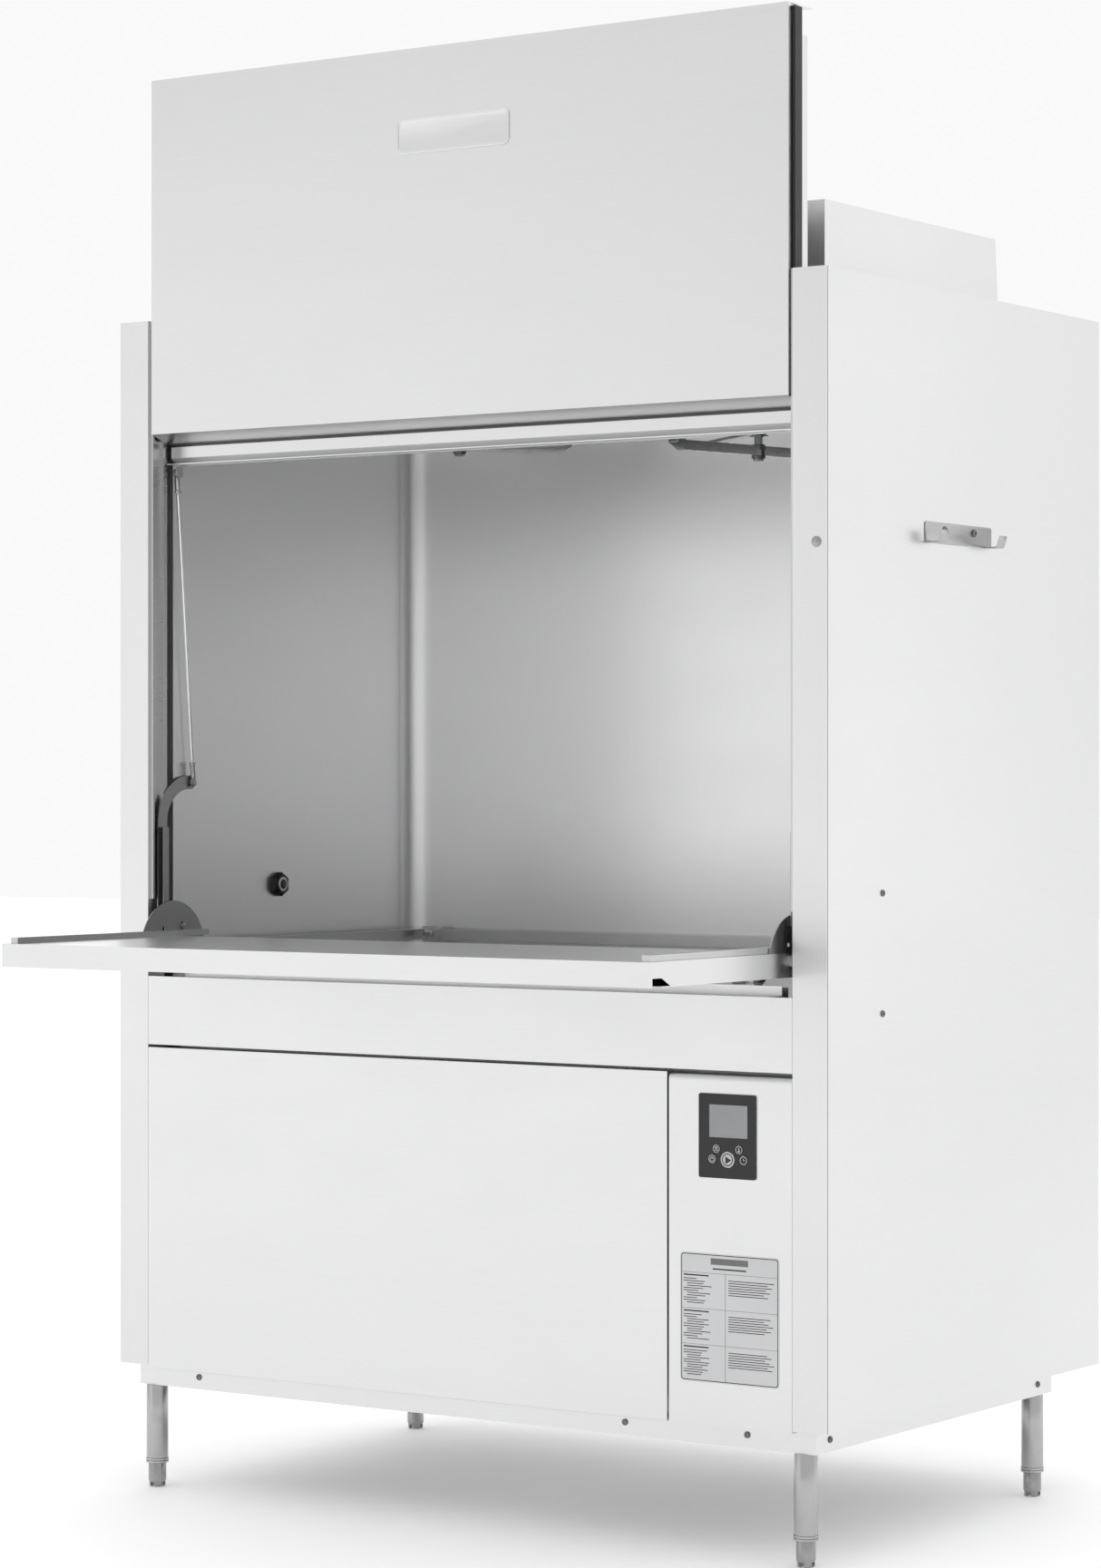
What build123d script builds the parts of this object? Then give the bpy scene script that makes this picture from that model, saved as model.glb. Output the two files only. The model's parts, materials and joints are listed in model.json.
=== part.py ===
from build123d import *
import math
import os

# Commercial dishwasher for pots and utensils: a cabinet on four legs, with a split front door.
# The upper door slides up in the corner posts, and the lower door folds down as a loading shelf.
# Millimetres. X is 0 at the middle, +Y runs to the back, Z is 0 on the floor.
# The doors are drawn open: upper door raised, lower door folded down.

os.makedirs("parts", exist_ok=True)

# ---- overall sizes ----
width = 1556
depth = 1026
cabinet_bottom = 235
cabinet_top = 2217
front = -300                # Y of the corner posts' front faces
skin = 1.5                  # outer and chamber sheet
plate = 3.0                 # structural plate
fit = 0.05                  # radial clearance of a shaft in its bore
gap = 0.5                   # clearance between pieces that pass each other
reveal = 3.0                # visible joint between outer panels
half = width / 2
back = front + depth

# ---- base and legs ----
base_height = 40
base_inset_side = 33
base_inset_front = 20
base_inset_back = 132
base_lip = 28
base_strip_width = 40
base_strips = (340, 470, 580)   # cross strips' front edges, behind the front
base_foot_plate = 60
base_top = cabinet_bottom
base_bottom = base_top - base_height
leg_radius = 20.65
leg_wall = 1.6
leg_inset_side = 62
leg_inset_front = 35
leg_inset_back = 154
foot_radius = 17
foot_height = 49
foot_flats = 30
foot_flat_height = 12
foot_corner = 6
foot_stem_radius = 8
foot_stem_length = 60
leg_plug_gap = 14
leg_plug_height = 40
leg_xs = (-half + leg_inset_side, half - leg_inset_side)
leg_ys = (front + leg_inset_front, back - leg_inset_back)

# ---- corner posts and door guides ----
post_width = 68
post_side_depth = 48
post_inner = half - post_width
guide_front_lip = (6, 11)
guide_rear_lip = (37, post_side_depth)
guide_reach = 7
guide_web = 1.2
guide_bottom = 1120
post_lip = 14
panel_lip = 30
panel_lip_front = 60
plug_x = half - 21
plug_z = 1749.5
plug_radius = 9.5
plug_proud = 2
plug_length = 8
plug_neck = 2.2

# ---- door mechanism ----
travel = 455
hinge_y = front + 30
hinge_z = 1035
hinge_pin_radius = 6
crank_back = 86             # ball joint on the crank, behind and above the hinge, shelf down
crank_up = 306
crank_thickness = 2.8
crank_width = 26
crank_bend_start = 227
rod_hanger_back = 36        # tie rod's upper pivot behind the hinge line
rod_radius = 3.5
rod_eye_radius = 8
rod_eye_width = 6
rod_pin_radius = 3
rod_collar_radius = 5

# ---- upper door ----
door_half_width = post_inner - 8.5
door_height = 671
door_top = cabinet_top + travel
door_bottom = door_top - door_height
door_skin = 1.2
door_edge = 10
door_liner_front = 47
door_depth = 65
door_top_flange = 81
door_liner_drop = 50
rail_step = 52              # bottom rail's bright face, behind the skin
rail_top_drop = 20
rail_face_drop = 42
rail_bottom_drop = 53
rail_lip_front = 45
rail_lip = 2
strip_inner = door_half_width - 13.5
strip_tongue = (12.5, 35.5)
strip_play = 0.3
strip_ends = (2, 4)
liner_inset = 6
rail_flare = 5
cable_lug = (50, 60)
cable_lug_reach = 6
bumper = (12, 112, 8, 2.3)  # bumper: from the edge, below the top, radius, height
bracket_foot = (14, 2.5)
bracket_plate = (2, 5)
bracket_radius = 9
rod_slack = 1
rod_pin_end = 0.4
rod_stud_radius = 4.5
rod_thread = (8, 40)

# ---- lower door ----
shelf_half_width = post_inner - 18.5
shelf_edge_half_width = post_inner - 11.7
shelf_reach = 425.5
shelf_bottom = 1007
shelf_top = 1049
shelf_rear = 58
rack_rail_height = 11
rack_rail_width = 16
cheek_radius = 96
cheek_front = 48
cheek_base = 1036
cheek_drop = 16
cheek_plate = 2
cheek_hole = (20, 1063, 4)
cheek_bolt = (76, 8, 6, 4)  # bolt: behind the front, above the rail, radius, length
shelf_notch = (40, 70, 15, 12)
rail_front_gap = 12
rail_rear_gap = 8
rib_xs = (-420, -140, 140, 420)
rib_web = 2
rib_foot = (15, 14)
rib_ends = (40, 30)
crank_play = 0.7
crank_boss_radius = 14
crank_stiffener = (8, 2, 7, 10, 6, 60)
pin_head = (11, 5)
pin_reach = 3

# ---- front panels ----
trim_bottom = 844
trim_top = 974
panel_bottom = 231
panel_top = 842
panel_split = half - 319.5
panel_return = 20
panel_play = 0.5
hem = 0.9
sill_half_width = post_inner - 50
sill_depth = 50
sill_height = 16
cover_bend = 12
control_top = 838
cover_depth = panel_return - 2
keypad_x = (half - 254.4, half - 140.2)
keypad_z = (659, 804.5)
keypad_thickness = 3
display_x = (half - 233.4, half - 155.7)
display_z = (729, 786)
display_play = 0.2
display_recess = 0.4
keypad_corner = 4
key_proud = 0.3
key_thickness = 2
key_edge = 0.4
key_clearance = 0.4
keys = {
    "start_key": (half - 196, 691.5, 13.7),
    "program_key": (half - 218.6, 709.7, 8.5),
    "temperature_key": (half - 172.9, 709.7, 8.5),
    "power_key": (half - 227, 691.8, 9.0),
    "timer_key": (half - 163.8, 691.8, 9.0),
}

# ---- chamber, tank and tracks ----
chamber_half_width = post_inner - 4
chamber_front = 65
chamber_back = depth - 176
chamber_top = 2042
chamber_cove = 45
opening_top = 1945
header_front = 68
roof_lip = 27
mid_y = front + chamber_back / 2
port_y = front + 393
port_z = 1140
port_flats = 42
port_depth = 14
port_ring = (15, 20)
port_bore = (9, 8)
tank_top = 930
tank_half_width = chamber_half_width - 18
tank_floor_side = 690
tank_floor_low = 610
tank_sump_x = 220
tank_sump_half = 90
tank_feed_z = 820
tank_feed_radius = 20
tank_corner_cut = 14
drain_radius = 25.4
drain_y = mid_y + 120
drain_wall = 2.5
drain_step = 4
drain_drop = 20
drain_length = 80
strainer_z = 905
strainer_margin = (14, 10)
strainer_corner = 12
strainer_hole = 9
strainer_hub_hole = 30
strainer_grid = (70, 40, 8, 4)
strainer_grid_offset = 190
riser_x = 60
track_half_width = chamber_half_width - 36
track_top = 1040
track_height = 22
track_leg_spacing = 640
track_shelf = 15
track_leg_half = 14
track_span = (75, chamber_back - 18)
track_corner = (30, 16, 3, 26, 6)   # corner plate: set-in, half width, thickness, drop, rise
track_bolt = (7, 6, 8)              # bolt: radius, length, below the track's top

# ---- spray arms ----
hub_x = chamber_half_width - 366
hub_y = mid_y + 76
arm_reach = 200
arm_tube = 24
arm_tube_height = 18
arm_wall = 2
arm_tip = 28                # bent-up tip beyond the tube, and its rise
arm_tip_rise = 14
arm_slots = (-170, -130, -90, -50, 60, 100, 140, 180)
arm_slot_size = (20, 4)
hub_radius = 13
hub_below = 15              # hub's lower end under the middle of the tube
hub_height = 27
spindle_radius = 8
spindle_cap_radius = 10
spindle_cap_height = 4
spindle_foot_radius = 10
spindle_foot_height = 3
upper_arm_z = {"left": 1996, "right": 1956}
lower_arm_z = {"left": 985, "right": 985}
rinse_arm_rise = 34
rinse_arm_reach = 315
rinse_arm_width = 22
rinse_arm_height = 6
rinse_holes = (-290, -220, -150, -80, 80, 150, 220, 290)
rinse_hole_size = (9, 5)
rinse_hub_radius = 13
rinse_hub_height = 9
arm_headings = {"left": 49, "right": 77}
lower_arm_turn = 34
rinse_arm_turn = 66.5

# ---- counterbalance ----
cable_x = half - 48
cable_radius = 1.8
pulley_groove = 35          # radius of the cable's middle line on a pulley
pulley_width = 12
pulley_z = 2160
pulley_shaft_radius = 8
front_pulley_y = front + 55 + pulley_groove
rear_pulley_y = back - 86
counterweight_bottom = 1120
counterweight_height = 72
counterweight_depth = 34
counterweight_lug = (6, 25)
lug_z = door_top - 632
lug_height = 8
cable_run_top = pulley_z
shaft_overhang = 30
pulley_rim = (6, 3)
bearing_half = (22, 24)
bearing_inset = 14
bearing_end = 10.5
weight_clearance = 12
roof_front = door_top_flange + reveal

# ---- machine compartment ----
pump_x = 340
pump_y = mid_y - 60
pump_z = 400
pump_radius = 95
pump_half_depth = 35
pump_inlet = (45, 80)
pump_outlet = (62, 30, 110)
motor_radius = 82
motor_length = 265
pump_seat = (80, 30)
motor_seat = (70, 60, 40)
terminal_x = (60, 115)
terminal_y = (80, 180)
terminal_z = (-40, 50)
seat_drop = 60
pipe_outer = 24
pipe_wall = 2
pipe_bend = 45
pipe_run_z = 560
pipe_break_y = 300
riser_y = front + chamber_back + 50
manifold_radius = 27
manifold_upper_z = 2080
booster_x = -380
booster_z = 390
booster_radius = 110
booster_half_length = 200
booster_wall = 3
booster_foot_offset = 120
booster_foot = (15, 90)
inlet_x = -half + 258
inlet_y = back - 190
inlet_radius = 13.35
inlet_drop = 25
rinse_radius = 11
rinse_wall = 2
rinse_bend = 30
rinse_setback = 50
rinse_rise = 45
rinse_rise_y = front + chamber_back + 40
heater_z = 735
heater_radius = 7
heater_wall = 1.5
heater_bend = 35
heater_margin = 90
heater_runs = (-500, -420, -340)
heater_flange = (22, 12)
power_radius = 22
power_place = (half - 178, 330)
box_margin = 12
box_span = (40, 170)
box_rise = 30
box_drop = 15
contactor = (45, 70, 70)    # width, depth, height
contactor_pitch = (62, 95)
contactor_start = (20, 40)

# ---- cowl, hook and screws ----
cowl_half_width = half - 78
cowl_front = front + 126
cowl_back = back - 260
cowl_height = 133
cowl_lean = 12
side_screw_z = (940, 1149)
side_screw_y = front + 191
base_side_screw_y = (front + 67, back - 188)
base_front_screw_x = (-half + 176, half - 421, half - 170)
base_screw_rise = (21, 23)  # above the base's lower edge: side, front
screw_radius = 6
screw_head = 3
screw_edge = 0.8
hook_y = (front + 341, front + 588)
hook_z = (1764, 1802)
hook_plate = 2
hook_reach = 34
hook_width = 30
hook_rise = 22
hook_lean = 6
hook_screws = (front + 412, front + 522)
hook_screw = (7, 3, 25)


def block(x, y, z, mode=Mode.ADD):
    """A box whose (low, high) edges are given along each axis."""
    with Locations(((x[0] + x[1]) / 2, (y[0] + y[1]) / 2, (z[0] + z[1]) / 2)):
        Box(x[1] - x[0], y[1] - y[0], z[1] - z[0], mode=mode)


def bar(start, end, radius, mode=Mode.ADD):
    """A round bar between two points."""
    run = Vector(*end) - Vector(*start)
    with Locations(Plane(origin=start, z_dir=run)):
        Cylinder(radius, run.length, align=(Align.CENTER, Align.CENTER, Align.MIN), mode=mode)


def tube_run(points, outer, wall, bend):
    """A bent pipe along straight runs joined by arcs."""
    with BuildLine() as route:
        FilletPolyline(*points, radius=bend)
    with BuildSketch(Plane(origin=route.line @ 0, z_dir=route.line % 0)) as section:
        Circle(outer)
        Circle(outer - wall, mode=Mode.SUBTRACT)
    sweep(section.sketch, path=route.line)


def mirrored(low, high, side):
    """The X edges of a span given for the right side, on either side."""
    return (low, high) if side > 0 else (-high, -low)


def save(piece, name):
    """Labels a finished piece and writes it as its own file."""
    piece.part.label = name
    export_step(piece.part, f"parts/{name}.step")


def save_set(pieces, name):
    """Writes touching pieces as one file, each kept as its own solid."""
    whole = Compound([solid for piece in pieces for solid in piece.part.solids()])
    whole.label = name
    export_step(whole, f"parts/{name}.step")


# ======================================================================== base, legs and feet

base_x = half - base_inset_side
base_y = (front + base_inset_front, back - base_inset_back)
base_z = (base_bottom, base_top)
inner_z = (base_bottom + plate, base_top - plate)
open_x = base_x - base_lip
open_y = (base_y[0] + base_lip, base_y[1] - base_lip)
web_lip = plate / 2 + base_lip
base_members = []
for low, high, edge in ((base_y[0], open_y[0], 1), (open_y[1], base_y[1], -1)):
    with BuildPart() as member:
        block((-base_x, base_x), (low, high), base_z)
        block((-base_x + plate, base_x - plate), (low + edge * plate, high + edge * plate), inner_z,
              Mode.SUBTRACT)
    base_members.append(member)
for side in (-1, 1):
    with BuildPart() as member:
        block(mirrored(open_x, base_x, side), open_y, base_z)
        block(mirrored(open_x - plate, base_x - plate, side), open_y, inner_z, Mode.SUBTRACT)
    base_members.append(member)
with BuildPart() as member:
    block((-web_lip, web_lip), open_y, base_z)
    for side in (-1, 1):
        block(mirrored(plate / 2, web_lip + plate, side), open_y, inner_z, Mode.SUBTRACT)
base_members.append(member)
for side in (-1, 1):
    for strip in base_strips:
        with BuildPart() as member:
            block(mirrored(web_lip, open_x, side), (front + strip, front + strip + base_strip_width),
                  (base_top - plate, base_top))
        base_members.append(member)
    for y in leg_ys:
        corner_y = (open_y[0], y + base_foot_plate) if y < 0 else (y - base_foot_plate, open_y[1])
        with BuildPart() as member:
            block(mirrored(leg_xs[1] - leg_radius, open_x, side), corner_y,
                  (base_bottom, base_bottom + plate))
        base_members.append(member)
save_set(base_members, "base_frame")

with BuildPart() as leg_tubes:
    for x in leg_xs:
        for y in leg_ys:
            with BuildSketch(Plane.XY.offset(foot_height)):
                with Locations((x, y)):
                    Circle(leg_radius)
                    Circle(leg_radius - leg_wall, mode=Mode.SUBTRACT)
            extrude(amount=base_bottom - foot_height)
            with BuildSketch(Plane.XY.offset(foot_height + leg_plug_gap)):
                with Locations((x, y)):
                    Circle(leg_radius - leg_wall)
                    Circle(foot_stem_radius + gap, mode=Mode.SUBTRACT)
            extrude(amount=leg_plug_height)
save(leg_tubes, "leg_tubes")

with BuildPart() as levelling_feet:
    for x in leg_xs:
        for y in leg_ys:
            with BuildSketch(Plane.XY):
                with Locations((x, y)):
                    RectangleRounded(foot_flats, foot_flats, foot_corner)
            extrude(amount=foot_flat_height)
            with BuildSketch(Plane.XY.offset(foot_flat_height)):
                with Locations((x, y)):
                    Circle(foot_radius)
            extrude(amount=foot_height - foot_flat_height - gap)
            with BuildSketch(Plane.XY.offset(foot_height - gap)):
                with Locations((x, y)):
                    Circle(foot_stem_radius)
            extrude(amount=foot_stem_length)
save(levelling_feet, "levelling_feet")

# ======================================================================== casing

with BuildPart() as side_panels:
    for side in (-1, 1):
        lip = mirrored(half - panel_lip, half - skin, side)
        block(mirrored(half - skin, half, side), (front + skin, back), (cabinet_bottom, cabinet_top))
        block(lip, (front + panel_lip_front, back - panel_lip), (cabinet_bottom, cabinet_bottom + skin))
        block(lip, (back - 2 * skin, back - skin),
              (cabinet_bottom + skin + gap, cabinet_top - 2 * skin - gap))
save(side_panels, "side_panels")

with BuildPart() as corner_posts:
    for side in (-1, 1):
        tall = (cabinet_bottom, cabinet_top)
        block(mirrored(post_inner, half, side), (front, front + skin), tall)
        block(mirrored(post_inner, post_inner + skin, side), (front + skin, front + post_side_depth), tall)
        block(mirrored(post_inner, post_inner + post_lip, side),
              (front + post_side_depth - skin, front + post_side_depth), tall)
        bar((side * (post_inner - plate), hinge_y, hinge_z), (side * (post_inner + plate), hinge_y, hinge_z),
            hinge_pin_radius + fit, Mode.SUBTRACT)
    bar((plug_x, front - plate, plug_z), (plug_x, front + plate, plug_z), plug_radius - plug_neck + fit,
        Mode.SUBTRACT)
save(corner_posts, "corner_posts")

with BuildPart() as post_plug:
    bar((plug_x, front - plug_proud, plug_z), (plug_x, front, plug_z), plug_radius)
    fillet(post_plug.edges().filter_by(GeomType.CIRCLE).sort_by(Axis.Y)[0], plug_proud * 0.6)
    bar((plug_x, front, plug_z), (plug_x, front + plug_length, plug_z), plug_radius - plug_neck)
save(post_plug, "post_plug")

with BuildPart() as rear_panel:
    block((-half + skin + gap, half - skin - gap), (back - skin, back), (cabinet_bottom, cabinet_top - skin))
    bar((power_place[0], back - plate, power_place[1]), (power_place[0], back + plate, power_place[1]),
        power_radius, Mode.SUBTRACT)
save(rear_panel, "rear_panel")

with BuildPart() as roof_panel:
    roof_x = (-half + skin, half - skin)
    block(roof_x, (front + roof_front, back), (cabinet_top - skin, cabinet_top))
    block((-post_inner, post_inner), (front + roof_front, front + roof_front + skin),
          (cabinet_top - roof_lip, cabinet_top - skin))
save(roof_panel, "roof_panel")

with BuildPart() as top_cowl:
    with BuildSketch(Plane.YZ.offset(-cowl_half_width)):
        with BuildLine():
            Polyline((cowl_front, cabinet_top), (cowl_back, cabinet_top),
                     (cowl_back - cowl_lean, cabinet_top + cowl_height),
                     (cowl_front, cabinet_top + cowl_height), close=True)
        make_face()
    extrude(amount=2 * cowl_half_width)
    offset(amount=-skin, openings=top_cowl.faces().sort_by(Axis.Z)[0])
save(top_cowl, "top_cowl")

with BuildPart() as door_header:
    header_y = front + header_front
    block((-chamber_half_width, chamber_half_width), (header_y, header_y + skin),
          (opening_top, cabinet_top - roof_lip))
    block((-chamber_half_width, chamber_half_width), (header_y + skin, front + roof_front + skin),
          (cabinet_top - roof_lip - skin, cabinet_top - roof_lip))
    block((-chamber_half_width, chamber_half_width), (header_y + skin, front + roof_front - plate),
          (opening_top, opening_top + skin))
save(door_header, "door_header")

with BuildPart() as door_guide_rails:
    for side in (-1, 1):
        tall = (guide_bottom, cabinet_top)
        web_x = mirrored(post_inner - guide_web, post_inner, side)
        lips_x = mirrored(post_inner - guide_reach, post_inner - guide_web, side)
        block(web_x, (front + guide_front_lip[0], front + guide_rear_lip[1]), tall)
        block(lips_x, (front + guide_front_lip[0], front + guide_front_lip[1]), tall)
        block(lips_x, (front + guide_rear_lip[0], front + guide_rear_lip[1]), tall)
save(door_guide_rails, "door_guide_rails")

# ======================================================================== front panels

panel_edge = post_inner - panel_play
with BuildPart() as front_trim_panel:
    block((-panel_edge, panel_edge), (front, front + skin), (trim_bottom, trim_top))
    block((-sill_half_width, sill_half_width), (front + skin, front + sill_depth),
          (trim_top - skin, trim_top))
    block((-sill_half_width, sill_half_width), (front + sill_depth - skin, front + sill_depth),
          (trim_top, trim_top + sill_height))
    block((-panel_edge, panel_edge), (front + skin, front + panel_return), (trim_bottom, trim_bottom + skin))
    edges_front = front_trim_panel.edges().filter_by(Axis.X).group_by(Axis.Y)[0]
    fillet(edges_front, hem)
save(front_trim_panel, "front_trim_panel")

with BuildPart() as lower_front_panel:
    low_panel_x = (-panel_edge, panel_split - reveal / 2)
    block(low_panel_x, (front, front + panel_return), (panel_bottom, panel_top - reveal))
    block((low_panel_x[0] + skin, low_panel_x[1] - skin), (front + skin, front + panel_return + 1),
          (panel_bottom + skin, panel_top - reveal - skin), Mode.SUBTRACT)
    fillet(lower_front_panel.edges().filter_by(Axis.X).group_by(Axis.Y)[0], hem)
save(lower_front_panel, "lower_front_panel")

with BuildPart() as control_panel_cover:
    cover_x = (panel_split + reveal / 2 + 1, panel_edge)
    with BuildSketch(Plane.YZ.offset(cover_x[0])):
        with BuildLine():
            Line((front, panel_bottom), (front, control_top - cover_bend))
            RadiusArc((front, control_top - cover_bend), (front + cover_bend, control_top), cover_bend)
            Line((front + cover_bend, control_top), (front + cover_depth, control_top))
            Line((front + cover_depth, control_top), (front + cover_depth, panel_bottom))
            Line((front + cover_depth, panel_bottom), (front, panel_bottom))
        make_face()
    extrude(amount=cover_x[1] - cover_x[0])
    offset(amount=-skin, openings=control_panel_cover.faces().sort_by(Axis.Y)[-1])
save(control_panel_cover, "control_panel_cover")

with BuildPart() as keypad_fascia:
    with BuildSketch(Plane.XZ.offset(-front)):
        with Locations((sum(keypad_x) / 2, sum(keypad_z) / 2)):
            RectangleRounded(keypad_x[1] - keypad_x[0], keypad_z[1] - keypad_z[0], keypad_corner)
        with Locations((sum(display_x) / 2, sum(display_z) / 2)):
            Rectangle(display_x[1] - display_x[0], display_z[1] - display_z[0], mode=Mode.SUBTRACT)
        for key_x, key_z, key_radius in keys.values():
            with Locations((key_x, key_z)):
                Circle(key_radius + key_clearance, mode=Mode.SUBTRACT)
    extrude(amount=keypad_thickness)
save(keypad_fascia, "keypad_fascia")

with BuildPart() as display_window:
    block((display_x[0] + display_play, display_x[1] - display_play),
          (front - keypad_thickness + display_recess, front),
          (display_z[0] + display_play, display_z[1] - display_play))
save(display_window, "display_window")

for key_name, (key_x, key_z, key_radius) in keys.items():
    with BuildPart() as key:
        key_front = front - keypad_thickness - key_proud
        bar((key_x, key_front, key_z), (key_x, key_front + key_thickness, key_z), key_radius)
        fillet(key.edges().filter_by(GeomType.CIRCLE).sort_by(Axis.Y)[0], key_edge)
    save(key, key_name)

# ======================================================================== chamber and tank

with BuildPart() as chamber_liner:
    with BuildSketch(Plane.XY.offset(tank_top)):
        with BuildLine():
            left, right = -chamber_half_width, chamber_half_width
            rear = front + chamber_back
            Line((left, front + chamber_front), (left, rear - chamber_cove))
            RadiusArc((left, rear - chamber_cove), (left + chamber_cove, rear), chamber_cove)
            Line((left + chamber_cove, rear), (right - chamber_cove, rear))
            RadiusArc((right - chamber_cove, rear), (right, rear - chamber_cove), chamber_cove)
            Line((right, rear - chamber_cove), (right, front + chamber_front))
            Line((right, front + chamber_front), (left, front + chamber_front))
        make_face()
        offset(amount=skin)
    extrude(amount=chamber_top + skin - tank_top)
    with BuildSketch(Plane.XY.offset(tank_top)):
        with BuildLine():
            Line((left, front + chamber_front - 5), (left, rear - chamber_cove))
            RadiusArc((left, rear - chamber_cove), (left + chamber_cove, rear), chamber_cove)
            Line((left + chamber_cove, rear), (right - chamber_cove, rear))
            RadiusArc((right - chamber_cove, rear), (right, rear - chamber_cove), chamber_cove)
            Line((right, rear - chamber_cove), (right, front + chamber_front - 5))
            Line((right, front + chamber_front - 5), (left, front + chamber_front - 5))
        make_face()
    extrude(amount=chamber_top - tank_top, mode=Mode.SUBTRACT)
    block((-width, width), (front - 10, front + header_front + skin), (tank_top - 1, cabinet_top),
          Mode.SUBTRACT)
    for side in (-1, 1):
        block(mirrored(chamber_half_width, half - skin - gap, side),
              (front + header_front + skin, front + header_front + 2 * skin), (tank_top, chamber_top))
        hub_at = (side * hub_x, hub_y)
        bar((*hub_at, chamber_top - plate), (*hub_at, chamber_top + plate), spindle_radius, Mode.SUBTRACT)
save(chamber_liner, "chamber_liner")

with BuildPart() as wall_port_fitting:
    with BuildSketch(Plane.YZ.offset(-chamber_half_width)):
        with Locations((port_y, port_z)):
            RegularPolygon(port_flats / 2, 6, major_radius=False)
    extrude(amount=port_depth)
    bar((-chamber_half_width + port_depth, port_y, port_z),
        (-chamber_half_width + port_ring[1], port_y, port_z),
        port_ring[0])
    bar((-chamber_half_width + port_bore[1], port_y, port_z),
        (-chamber_half_width + port_ring[1] + plate, port_y, port_z), port_bore[0], Mode.SUBTRACT)
save(wall_port_fitting, "wall_port_fitting")

tank_wall_front = front + header_front + skin
tank_wall_back = front + chamber_back - 2
with BuildPart() as wash_tank:
    with BuildSketch(Plane.XZ.offset(-tank_wall_front)):
        with BuildLine():
            Polyline((-tank_half_width, tank_top), (-tank_half_width, tank_floor_side),
                     (tank_sump_x - tank_sump_half, tank_floor_low),
                     (tank_sump_x + tank_sump_half, tank_floor_low),
                     (tank_half_width, tank_floor_side), (tank_half_width, tank_top), close=True)
        make_face()
    extrude(amount=-(tank_wall_back - tank_wall_front))
    offset(amount=-skin, openings=wash_tank.faces().sort_by(Axis.Z)[-1])
    with BuildSketch(Plane.XY.offset(tank_top - skin)):
        with Locations((0, (tank_wall_front + tank_wall_back) / 2)):
            Rectangle(2 * chamber_half_width - 2, tank_wall_back - tank_wall_front)
            Rectangle(2 * tank_half_width - 2 * skin, tank_wall_back - tank_wall_front - 2 * skin,
                      mode=Mode.SUBTRACT)
    extrude(amount=skin - gap)
    for side in (-1, 1):
        block(mirrored(tank_half_width - skin, chamber_half_width, side),
              (tank_wall_front - gap, tank_wall_front + tank_corner_cut), (tank_top - skin,
               tank_top), Mode.SUBTRACT)
    block((-sill_half_width, sill_half_width), (tank_wall_front, tank_wall_front + skin),
          (tank_top - skin, trim_top + sill_height - plate))
    bar((tank_sump_x, drain_y, tank_floor_low - plate), (tank_sump_x, drain_y, tank_floor_low + plate),
        drain_radius - plate, Mode.SUBTRACT)
    bar((riser_x, tank_wall_back - plate, tank_feed_z), (riser_x, tank_wall_back + plate, tank_feed_z),
        tank_feed_radius + gap, Mode.SUBTRACT)
save(wash_tank, "wash_tank")

with BuildPart() as strainer_pans:
    for side in (-1, 1):
        pan_x = side * (tank_half_width / 2 - skin)
        with BuildSketch(Plane.XY.offset(strainer_z)):
            with Locations((pan_x, (tank_wall_front + tank_wall_back) / 2)):
                RectangleRounded(tank_half_width - strainer_margin[0],
                                 tank_wall_back - tank_wall_front - strainer_margin[1], strainer_corner)
            with Locations((side * hub_x, hub_y)):
                Circle(strainer_hub_hole, mode=Mode.SUBTRACT)
            with Locations((pan_x, mid_y - strainer_grid_offset), (pan_x, mid_y + strainer_grid_offset)):
                with GridLocations(*strainer_grid):
                    Circle(strainer_hole, mode=Mode.SUBTRACT)
        extrude(amount=skin)
save(strainer_pans, "strainer_pans")

with BuildPart() as rack_track:
    track_y = (front + track_span[0], front + track_span[1])
    corner_in, corner_half, corner_plate, corner_drop, corner_rise = track_corner
    bolt_radius, bolt_length, bolt_drop = track_bolt
    for side in (-1, 1):
        edge_x = mirrored(track_half_width - skin, track_half_width, side)
        block(mirrored(track_half_width - track_shelf, track_half_width, side), track_y,
              (track_top - skin, track_top))
        block(edge_x, track_y, (track_top - track_height, track_top))
        for leg_y in (mid_y - track_leg_spacing / 2, mid_y + track_leg_spacing / 2):
            leg_span = (leg_y - track_leg_half, leg_y + track_leg_half)
            block(edge_x, leg_span, (tank_top + skin, track_top - track_height))
            block(mirrored(track_half_width - track_shelf, chamber_half_width - track_leg_half, side),
                  leg_span,
                  (tank_top, tank_top + skin))
    stop_y = track_y[1] - track_shelf
    block((-track_half_width, track_half_width), (stop_y, track_y[1]), (track_top - skin, track_top))
    block((-track_half_width, track_half_width), (stop_y, stop_y + skin),
          (track_top - track_height, track_top))
    for side in (-1, 1):
        corner = side * (track_half_width - corner_in)
        block((corner - corner_half, corner + corner_half), (stop_y - corner_plate, stop_y),
              (track_top - corner_drop, track_top + corner_rise))
        bar((corner, stop_y - corner_plate - bolt_length, track_top - bolt_drop),
            (corner, stop_y - corner_plate, track_top - bolt_drop), bolt_radius)
save(rack_track, "rack_track")

# ======================================================================== upper door

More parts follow.
